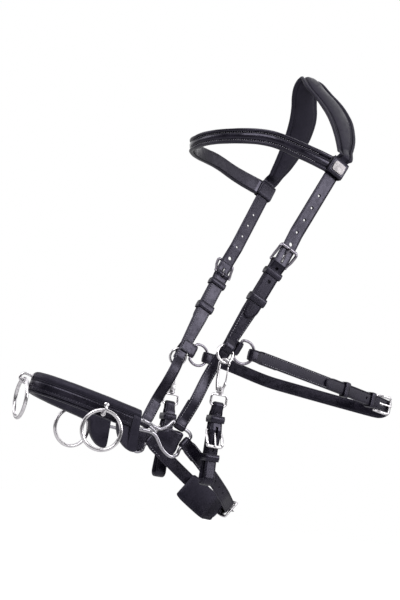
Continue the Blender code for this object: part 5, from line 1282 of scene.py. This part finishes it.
brow_count = 104
brow_stations = [brow_station(brow_end + (pi - 2 * brow_end) * i / brow_count) for i in range(brow_count + 1)]
rings = [[centre + up * u * tall + out * v * brow_thick for u, v in brow_section]
         for centre, up, out, tall in brow_stations]
glossy = leather_finish(
    "browband_leather", "strap_leather", (0.0028, 0.0023, 0.0050), (0.0062, 0.0052, 0.0102),
    0.24, 1500.0, 0.000014, specular=0.42)
brow_size = len(brow_section)
held = brow_firm_rings * brow_size
firm = firm_seams(brow_size, len(rings), held, held, between_seams(brow_rolls))
roll_skin = puffed(meshed("browband", rings), firm, brow_puff)
fitted("browband", worked(roll_skin, brow_give, brow_patch), glossy)
rows = [[centre + up * u * tall + out * v * brow_thick for centre, up, out, tall in brow_stations[4:-4]]
        for u, v in brow_seams]
stitched("browband_stitches", rows, "browband", pitch=0.0026, length=0.0018, thread=0.0006)
rings = []
for i, (centre, up, out, tall) in enumerate(brow_stations[1:-1]):
    depth = -brow_thick / 2 - fit - lining_thick / 2
    ring = []
    for u, v in lining_section:
        at = centre + up * u * tall + out * (depth + v * lining_thick)
        crease = noise.noise(Vector((i * lining_wave[0], u * lining_wave[1], lining_wave[2]))) * (1 - u * u)
        ring.append(at - out * (lining_crease * max(crease, -0.2) if v < -0.5 else 0))
    rings.append(ring)
lining_leather = leather_finish(
    "lining_leather", "pad_leather", (0.0034, 0.0029, 0.0058), (0.0074, 0.0063, 0.0114), 0.34, 1300.0, 0.00002,
    specular=0.26)
fitted("browband_lining", meshed("lining", rings), lining_leather)


def plated(low, high, place, edge):
    """A flat plate with rounded edges and corners."""
    work = bmesh.new()
    bmesh.ops.create_cube(work, size=1)
    for vertex in work.verts:
        vertex.co = Vector([high[i] if vertex.co[i] > 0 else low[i] for i in range(3)])
    corners = [e for e in work.edges if abs(e.verts[0].co.x - e.verts[1].co.x) > (high[0] - low[0]) / 2]
    bmesh.ops.bevel(work, geom=corners, offset=edge * 8, segments=7, profile=0.5, affect="EDGES")
    outer = [e for e in work.edges if all(abs(v.co.x - high[0]) < fit / 10 for v in e.verts)]
    bmesh.ops.bevel(work, geom=outer, offset=edge, segments=4, profile=0.5, affect="EDGES")
    bmesh.ops.transform(work, matrix=place, verts=work.verts)
    return outwards(plain("plate", work), 30)


clear_in, clear_out = -leather / 2 - fit, leather / 2 + 2 * fit + poll_tail
for side, flip in sides:
    place = flip @ cheek_line @ shifted(y=-loop_drop)
    mesh = loop_mesh("loop", place, clear_in - loop_wall / 2, clear_out + loop_wall / 2,
                     cheek_width / 2 + fit + loop_wall / 2, loop_wall, loop_length, loop_crease)
    carried(side + "_browband_loop", mesh, carrier["browband"], strap_leather)
low = (clear_out + loop_wall + fit, -loop_drop - plate_height / 2, -plate_length / 2)
high = (low[0] + plate_thick, low[1] + plate_height, plate_length / 2)
brushed = steel_finish("brushed_nickel", "polished_steel", (0.40, 0.38, 0.39), 0.56, (0.30, 0.285, 0.295))
fitted("browband_plate", plated(low, high, cheek_line, plate_edge), brushed, "steel")

# The nosepiece is a felt pad in soft leather, with a lobe and a smooth cap at each end. A raised strap is
# stitched along it, and three steel staples through the strap hold the lungeing rings.
frame_length, frame_height, frame_set = 0.060, 0.036, 0.0044
cheek_bar, chin_bar = (0.760, -0.0417), (0.9225, -0.540)
cheek_bar_at = Vector((0, frame_length * cheek_bar[0], frame_height * cheek_bar[1]))
frame_front = cheek_line @ Vector((0, -frame_drop, 0)) - cheek_bar_at
nose_tilt, nose_shift, nose_lift = radians(12), 0.0018, -0.0043
nose_plane = shifted(0, frame_front.y + nose_shift, frame_front.z + nose_lift) @ turned(-nose_tilt, "X")
nose_half, nose_reach, nose_high, nose_thick = 0.0512, 0.1205, 0.0120, 0.0100
band_height, band_thick, band_drop, band_crease, band_deep = 0.0109, 0.0026, 0.0032, 0.0014, 0.00022
band_seam, welt_wire, welt_out = 0.0022, 0.0006, 0.0002
nose_rolls, nose_firm_rings = ((3, 9), (23, 33), (38, 47)), 15
nose_puff, nose_give, nose_patch = 0.0009, 0.00020, 0.012
pocket_share = (-0.32, -0.07)
lobe_depth, lobe_length = 0.0220, 0.0260
nose_ring_radius, nose_ring_wire, staple_radius, staple_wire = 0.0215, 0.0021, 0.0050, 0.0016
nose_staples = (("near", radians(22), 0.0080, 0), ("centre", pi / 2, 0.0130, 0.0035),
                ("far", pi - radians(22), 0.0080, 0))
seat = band_thick + fit
band_top, band_low = -band_drop + band_height / 2, -band_drop - band_height / 2
nose_outline = (
    (-nose_high, seat * 1.1, 1), (-nose_high * 0.97, seat * 0.55, 1), (-nose_high * 0.88, seat * 0.45, 1),
    (band_low - fit, seat, 0), (band_top + fit, seat, 0), (band_top + fit * 3, seat * 0.30, 0),
    (nose_high * 0.50, 0, 0), (nose_high * 0.84, seat * 0.45, 0), (nose_high, nose_thick * 0.45, 0),
    (nose_high * 0.92, nose_thick * 0.85, 0), (nose_high * 0.5, nose_thick, 0),
    (-nose_high * 0.5, nose_thick, 0.6), (-nose_high * 0.94, nose_thick * 0.85, 1),
)
nose_capped = [(z, 0 if depth == seat else depth, drop) for z, depth, drop in nose_outline]


def nose_way(angle):
    """A point of the noseband's outer oval and the way out of it."""
    out = Vector((cos(angle) / nose_half, -sin(angle) / nose_reach, 0)).normalized()
    return Vector((nose_half * cos(angle), -nose_reach * sin(angle), 0)), out


def nose_point(angle, level, depth, lean=0.0):
    """A point at a level and a depth inside the oval. What hangs below the pad hangs upright."""
    point, out = nose_way(angle)
    below = -nose_high - level
    back = tan(nose_tilt) * below * (1 if below > 0 else lean)
    return nose_plane @ (point - out * depth + Vector((0, back, level)))


lobe_end = lobe_length / nose_reach
end_shares = (
    0, 0.04, 0.08, 0.14, 0.2, 0.3, 0.4, 0.412, 0.43, 0.5, 0.6, 0.68, 0.76, 0.83, 0.89, 0.93, 0.97, 1.03)
cap_station, nose_count = 6, 72
angles = [lobe_end * share for share in end_shares]
angles += [angles[-1] + (pi - 2 * angles[-1]) * i / nose_count for i in range(1, nose_count)]
angles += [pi - angle for angle in reversed(angles[:len(end_shares)])]
band_section, seam_deep = strap_section(band_height / 2, band_thick, band_crease, band_deep), 0.00025
rings, strip_rings, strip_rows, strip_welts = [], [], [[], []], [[], []]
for i, angle in enumerate(angles):
    point, out = nose_way(angle)
    edge = min((point - nose_way(0)[0]).length, (point - nose_way(pi)[0]).length)
    crest = lobe_length * 0.16
    part = (edge - crest) / (lobe_length - crest) if edge > crest else (crest - edge) / crest * 0.45
    lobe = lobe_depth * sqrt(max(1 - part**2, 0))
    inset = min(i, len(angles) - 1 - i)
    here = nose_capped if inset <= cap_station else nose_outline
    lean_share = max(1 - edge / lobe_length, 0)
    outline = smooth([Vector((z - lobe * drop, depth)) for z, depth, drop in here], 4, closed=True)
    rings.append([nose_point(angle, z, depth, lean_share) for z, depth in outline])
    if inset <= cap_station + 1:
        continue
    strip_rings.append([nose_point(angle, z - band_drop, band_thick / 2 - n, lean_share)
                        for z, n in band_section])
    for row, welt, sign in zip(strip_rows, strip_welts, (1, -1)):
        row.append(nose_point(angle, sign * (band_height / 2 - band_seam) - band_drop, seam_deep, lean_share))
        welt.append(nose_point(angle, sign * (band_height / 2 + welt_out) - band_drop, welt_wire, lean_share))
nose_size = len(outline)
held = nose_firm_rings * nose_size
firm = firm_seams(nose_size, len(rings), held, held, between_seams(nose_rolls))
mesh = worked(puffed(meshed("nosepiece", rings), firm, nose_puff), nose_give, nose_patch)
bar_front = frame_front.y - frame_length * 0.100
room = frame_wire + 4 * fit
low_z, high_z = (frame_front.z + share * frame_height for share in pocket_share)
pockets = []
for sign in (1, -1):
    ends = sorted(sign * (frame_front.x - frame_set + way * (frame_wire + slack)) for way in (-1, 1))
    low = (ends[0], bar_front - room, low_z - room)
    pockets.append(block(low, (ends[1], bar_front + lobe_length, high_z + room), Matrix.Identity(4)))
fitted("nosepiece_pad", cut(mesh, pockets), pad_leather)
strip = meshed("strip", strip_rings)
rim = strip.attributes.new("rim", "FLOAT", "POINT")
rim.data.foreach_set("value", [1000 * (band_height / 2 - abs(z)) for _ in strip_rings for z, _ in band_section])
fitted("nosepiece_band", strip, strap_leather)
welts = [wire("welt", line, welt_wire, pad_leather, sides=10) for line in strip_welts]
carried("nosepiece_welts", joined("welts", welts), carrier["nosepiece_band"], pad_leather)
stitched("nosepiece_stitches", [row[2:-2] for row in strip_rows], "nosepiece_band")
up = Vector((0, 0, 1))
for name, angle, reach, rise in nose_staples:
    point, out = nose_way(angle)
    basis = Matrix((out, up, out.cross(up))).transposed().to_4x4()
    place = nose_plane @ Matrix.Translation(point + up * (rise - band_drop)) @ basis
    bow = reach - staple_radius
    legs = [(fit, staple_radius), *arc((bow, 0), staple_radius, 90, -90, 24), (fit, -staple_radius)]
    meshes = [wire("staple", [place @ Vector((x, y, 0)) for x, y in legs], staple_wire * 0.98, nickel)]
    collar = [(staple_wire, fit * 2), (staple_wire * 1.7, fit * 2), (staple_wire * 1.75, fit * 3.5),
              (staple_wire * 1.1, fit * 5)]
    for sign in (1, -1):
        foot = place @ shifted(-fit, sign * staple_radius) @ turned(-pi / 2, "Z")
        meshes.append(turned_piece("collar", collar, foot, 20))
    fitted(name + "_staple", joined("staple", meshes), nickel, "steel")
    at = place @ Vector((bow, staple_wire + fit + nose_ring_wire - staple_radius, 0))
    facing = place.to_3x3() @ Vector((1, 0, 0))
    level_out = Vector((facing.x, facing.y, 0)).normalized()
    flat = Matrix((level_out, up, level_out.cross(up))).transposed().to_4x4()
    hung = Matrix.Translation(at) @ flat @ shifted(y=-nose_ring_radius) @ turned(pi / 2, "Y")
    loop = [hung @ Vector((x, y, 0)) for x, y in arc((0, 0), nose_ring_radius, 0, 356.25, 95)]
    bent(name + "_nose_ring", loop, nose_ring_wire * 0.99, nickel, 20)

# A shaped wire of stainless steel joins nosepiece, cheek strap and chin strap on each side. It is bent cold
# and welded shut, and its front ends sit in the nosepiece's caps. A leather backing keeps it off the cheek.


def bar_shares(middle_share, way, width, reaches):
    """Points of a straight bar that carries a strap, at reaches in widths of the strap."""
    return [(middle_share[0] + way[0] * width * reach / frame_length,
             middle_share[1] + way[1] * width * reach / frame_height) for reach in reaches]


chin_tilt, chin_end_width = radians(36), 0.0130
frame_shares = [
    (-0.100, -0.07), (0.060, -0.07), (0.185, -0.14), (0.300, -0.22), (0.400, -0.235), (0.520, -0.13),
    *bar_shares(cheek_bar, (-cos(rake), sin(rake)), fold_width, (0.69, 0.50, -0.60, -0.80)), (0.985, -0.215),
    *bar_shares(chin_bar, (sin(chin_tilt), cos(chin_tilt)), chin_end_width, (0.72, 0, -0.72)),
    (0.800, -0.92), (0.700, -1.00), (0.600, -0.95), (0.480, -0.80), (0.390, -0.60), (0.310, -0.44),
    (0.200, -0.365), (0.060, -0.345), (-0.100, -0.32),
]
backing_shares = (
    (0.400, -0.27), (0.520, -0.17), (0.620, -0.185), (0.780, -0.20), (0.880, -0.27), (0.865, -0.42),
    (0.820, -0.58), (0.785, -0.80), (0.735, -0.94), (0.670, -0.97), (0.580, -0.90), (0.480, -0.76),
    (0.400, -0.58), (0.345, -0.42),
)
backing_half = 0.0165
set_in_shares = (0.045, 0.195)
backing_edge = (
    (0.0027, 0.0023), (0.0022, 0.0026), (0.0018, 0.0026), (0.0014, 0.0023), (0.0004, 0.0024), (0, 0.0028),
    (0, 0.0040), (0.0004, 0.0044),
)
for side, flip in sides:
    points = []
    for a, b in frame_shares:
        away = within((a - set_in_shares[0]) / set_in_shares[1])
        at = Vector((-frame_set * (1 - away**2 * (3 - 2 * away)), frame_length * a, frame_height * b))
        points.append(flip @ (frame_front + at))
    bent(side + "_side_frame", smooth(points, 6, closed=True), frame_wire * 0.99, stainless, 20)
    outline = smooth([Vector(share) for share in backing_shares], 5, closed=True)
    centre = sum(outline, Vector((0, 0))) / len(outline)
    rings = []
    for inset, back_by in backing_edge:
        ring = []
        for share in outline:
            a, b = share - (share - centre) * inset / backing_half
            ring.append(flip @ (frame_front + Vector((-back_by, frame_length * a, frame_height * b))))
        rings.append(ring)
    mesh = meshed("backing", rings)
    rim = mesh.attributes.new("rim", "FLOAT", "POINT")
    rim.data.foreach_set("value", [1000 * inset for inset, _ in backing_edge for _ in outline])
    carried(side + "_frame_backing", mesh, carrier[side + "_side_frame"], strap_leather)

# The chin straps are folded round the side frames and buckled under the chin, the near one with holes. A flat
# pad of felt in soft leather lies inside them.
chin_width, chin_hinge, chin_way = 0.0155, Vector((-0.0095, 0.1085)), Vector((0.97, -0.24))
chin_lead, chin_buckle_length, chin_lap, chin_tip = 0.018, 0.0200, 0.022, 0.66
chin_hole_shares, chin_sewn_end, chin_crease = [0.26 + 0.085 * i for i in range(6)], 0.034, 0.0017
chin_pad_width, chin_pad_thick, chin_pad_drop, chin_piping = 0.035, 0.0040, 0.0090, 0.0009
chin_firm_rings, chin_puff, chin_give, chin_patch = 4, 0.0004, 0.00012, 0.010
chin_fold_share, chin_leave, chin_join, chin_chape_share = 0.16, 0.76, 0.91, 0.93
chin_keeper_share, chin_pad_share = 0.82, 0.42
chin_bar_at = (frame_front.y + frame_length * chin_bar[0], frame_front.z + frame_height * chin_bar[1])
chin_plane = shifted(0, *chin_bar_at) @ turned(-chin_tilt, "X")
chin_x, chin_rod = frame_front.x, frame_wire + fit + leather / 2
chin_start, chin_stop = (chin_x, chin_rod + 2 * leather), (-chin_hinge.x, chin_hinge.y)
chin_near_line = [chin_start, (0.0490, 0.030), (0.0335, 0.087), chin_stop]
chin_far_line = [chin_start, (0.0490, 0.030), (0.0400, 0.092),
                 (chin_stop[0] + chin_lead * chin_way.x, chin_stop[1] - chin_lead * chin_way.y), chin_stop]
chin_fold = followed(chin_near_line, -layer, chin_fold_share, 0, 8) + arc((chin_x, 0), chin_rod, 140, 400, 24)
chin_heading = heading(chin_hinge, chin_way) @ turned(pi, "Y")
chin_bar_place = chin_plane @ chin_heading
chin_over = billet_level + fit


def chin_widths(i, point):
    """Narrow on the side frame's bar, then full."""
    return chin_end_width + (chin_width - chin_end_width) * eased(chin_rod, chin_rod + 2 * leather, point[1])


far_path = flipped(chin_fold + followed(chin_far_line, layer, 0, chin_chape_share, 40))
far_path += list(reversed(carried_into(chape_eye(), chin_heading)))
far_path += flipped(followed(chin_far_line, -layer, chin_chape_share, 1 - chin_lap / chin_hinge.y, 6))[1:]
far_path = filled(far_path, 0.003)
mesh = strap("far_chin_strap", far_path, chin_widths, chin_plane)
fitted("far_chin_strap", cut(mesh, [tongue_slot(chin_bar_place, *chape_slot)]), strap_leather)
buckle("chin", chin_bar_place, chin_buckle_length, chin_width, nickel)
past = carried_into(over_buckle(chin_buckle_length), chin_heading)
near_path = chin_fold + followed(chin_near_line, layer, 0, chin_leave, 36)
approach = past[0] + (near_path[-1] - past[0]).normalized() * 2 * leather
near_path += smooth([approach, *past], 6)
near_path += flipped(followed(chin_far_line, chin_over, chin_join, chin_tip, 12))
tip, away = on_line(chin_far_line, chin_tip, chin_over)
near_path += flipped([tip - away * tip_length * share for share in point_shares])
near_path = filled(near_path, 0.003)
chin_tapered = pointed(near_path, chin_width)
near_widths = lambda i, point: min(chin_widths(i, point), chin_tapered(i, point))
mesh = strap("near_chin_strap", near_path, near_widths, chin_plane)
holes = []
for share in chin_hole_shares:
    at, toward = on_line(chin_near_line, share, layer)
    holes.append(chin_plane @ heading(at, toward) @ turned(pi / 2, "Y"))
slot = tongue_slot(chin_bar_place, buckle_wire / 2, chin_buckle_length * slot_share)
mesh = cut(mesh, [slot, hole_cutters(holes, 2 * leather, hole_radius * 0.7)])
fitted("near_chin_strap", mesh, strap_leather)
at, toward = on_line(chin_far_line, chin_keeper_share)
keeper_place = chin_plane @ heading((-at.x, at.y), (-toward.x, toward.y)) @ turned(pi, "Y")
inner, outer = -layer - leather / 2 - fit / 2, billet_level + leather / 2 + fit
keeper("chin_keeper", keeper_place, inner, outer, chin_width, keeper_length)
rows = []
for path, sign, face in ((near_path, 1, 1), (far_path, -1, -1)):
    sewn = lambda p: p.x * sign > 0 and chin_rod + leather < p.y < chin_sewn_end
    rows += stitch_rows(path, chin_widths, chin_plane, sewn, face, chin_crease)
stitched("chin_stitches", rows, "near_chin_strap")
pad_depth = layer + leather / 2 + keeper_wall + 3 * fit + chin_pad_thick / 2
inside = flipped(followed(chin_far_line, -pad_depth, chin_pad_share, 1, 8))
inside += [(-chin_hinge.x * share, chin_hinge.y - pad_depth) for share in (0.0, 0.45, 0.85)]
inside = smooth(inside, 5)
pad_stations = []
for i, point in enumerate(inside):
    ahead = (inside[min(i + 1, len(inside) - 1)] - inside[max(i - 1, 0)]).normalized()
    near_edge = min(i, len(inside) - 1 - i)
    wide = chin_pad_width / 2 * (0.86 + 0.14 * sqrt(min(near_edge / 4, 1)))
    thick = chin_pad_thick * (0.35 + 0.65 * min(near_edge / 2, 1))
    centre = chin_plane @ Vector((point.x, point.y, -chin_pad_drop))
    turn = chin_plane.to_3x3()
    across, out = turn @ Vector((0, 0, 1)), turn @ Vector((-ahead.y, ahead.x, 0))
    pad_stations.append(station(centre, across, out, wide, thick))
pad_rings = section_rings(pad_stations, chin_piping)
pad_size = len(pad_rings[0])
held = chin_firm_rings * pad_size
firm = firm_seams(pad_size, len(pad_rings), held, held, lambda key: felt_backed(key, pad_size))
chin_skin = puffed(meshed("chin_pad", pad_rings), firm, chin_puff)
fitted("chin_pad", worked(chin_skin, chin_give, chin_patch), pad_leather)
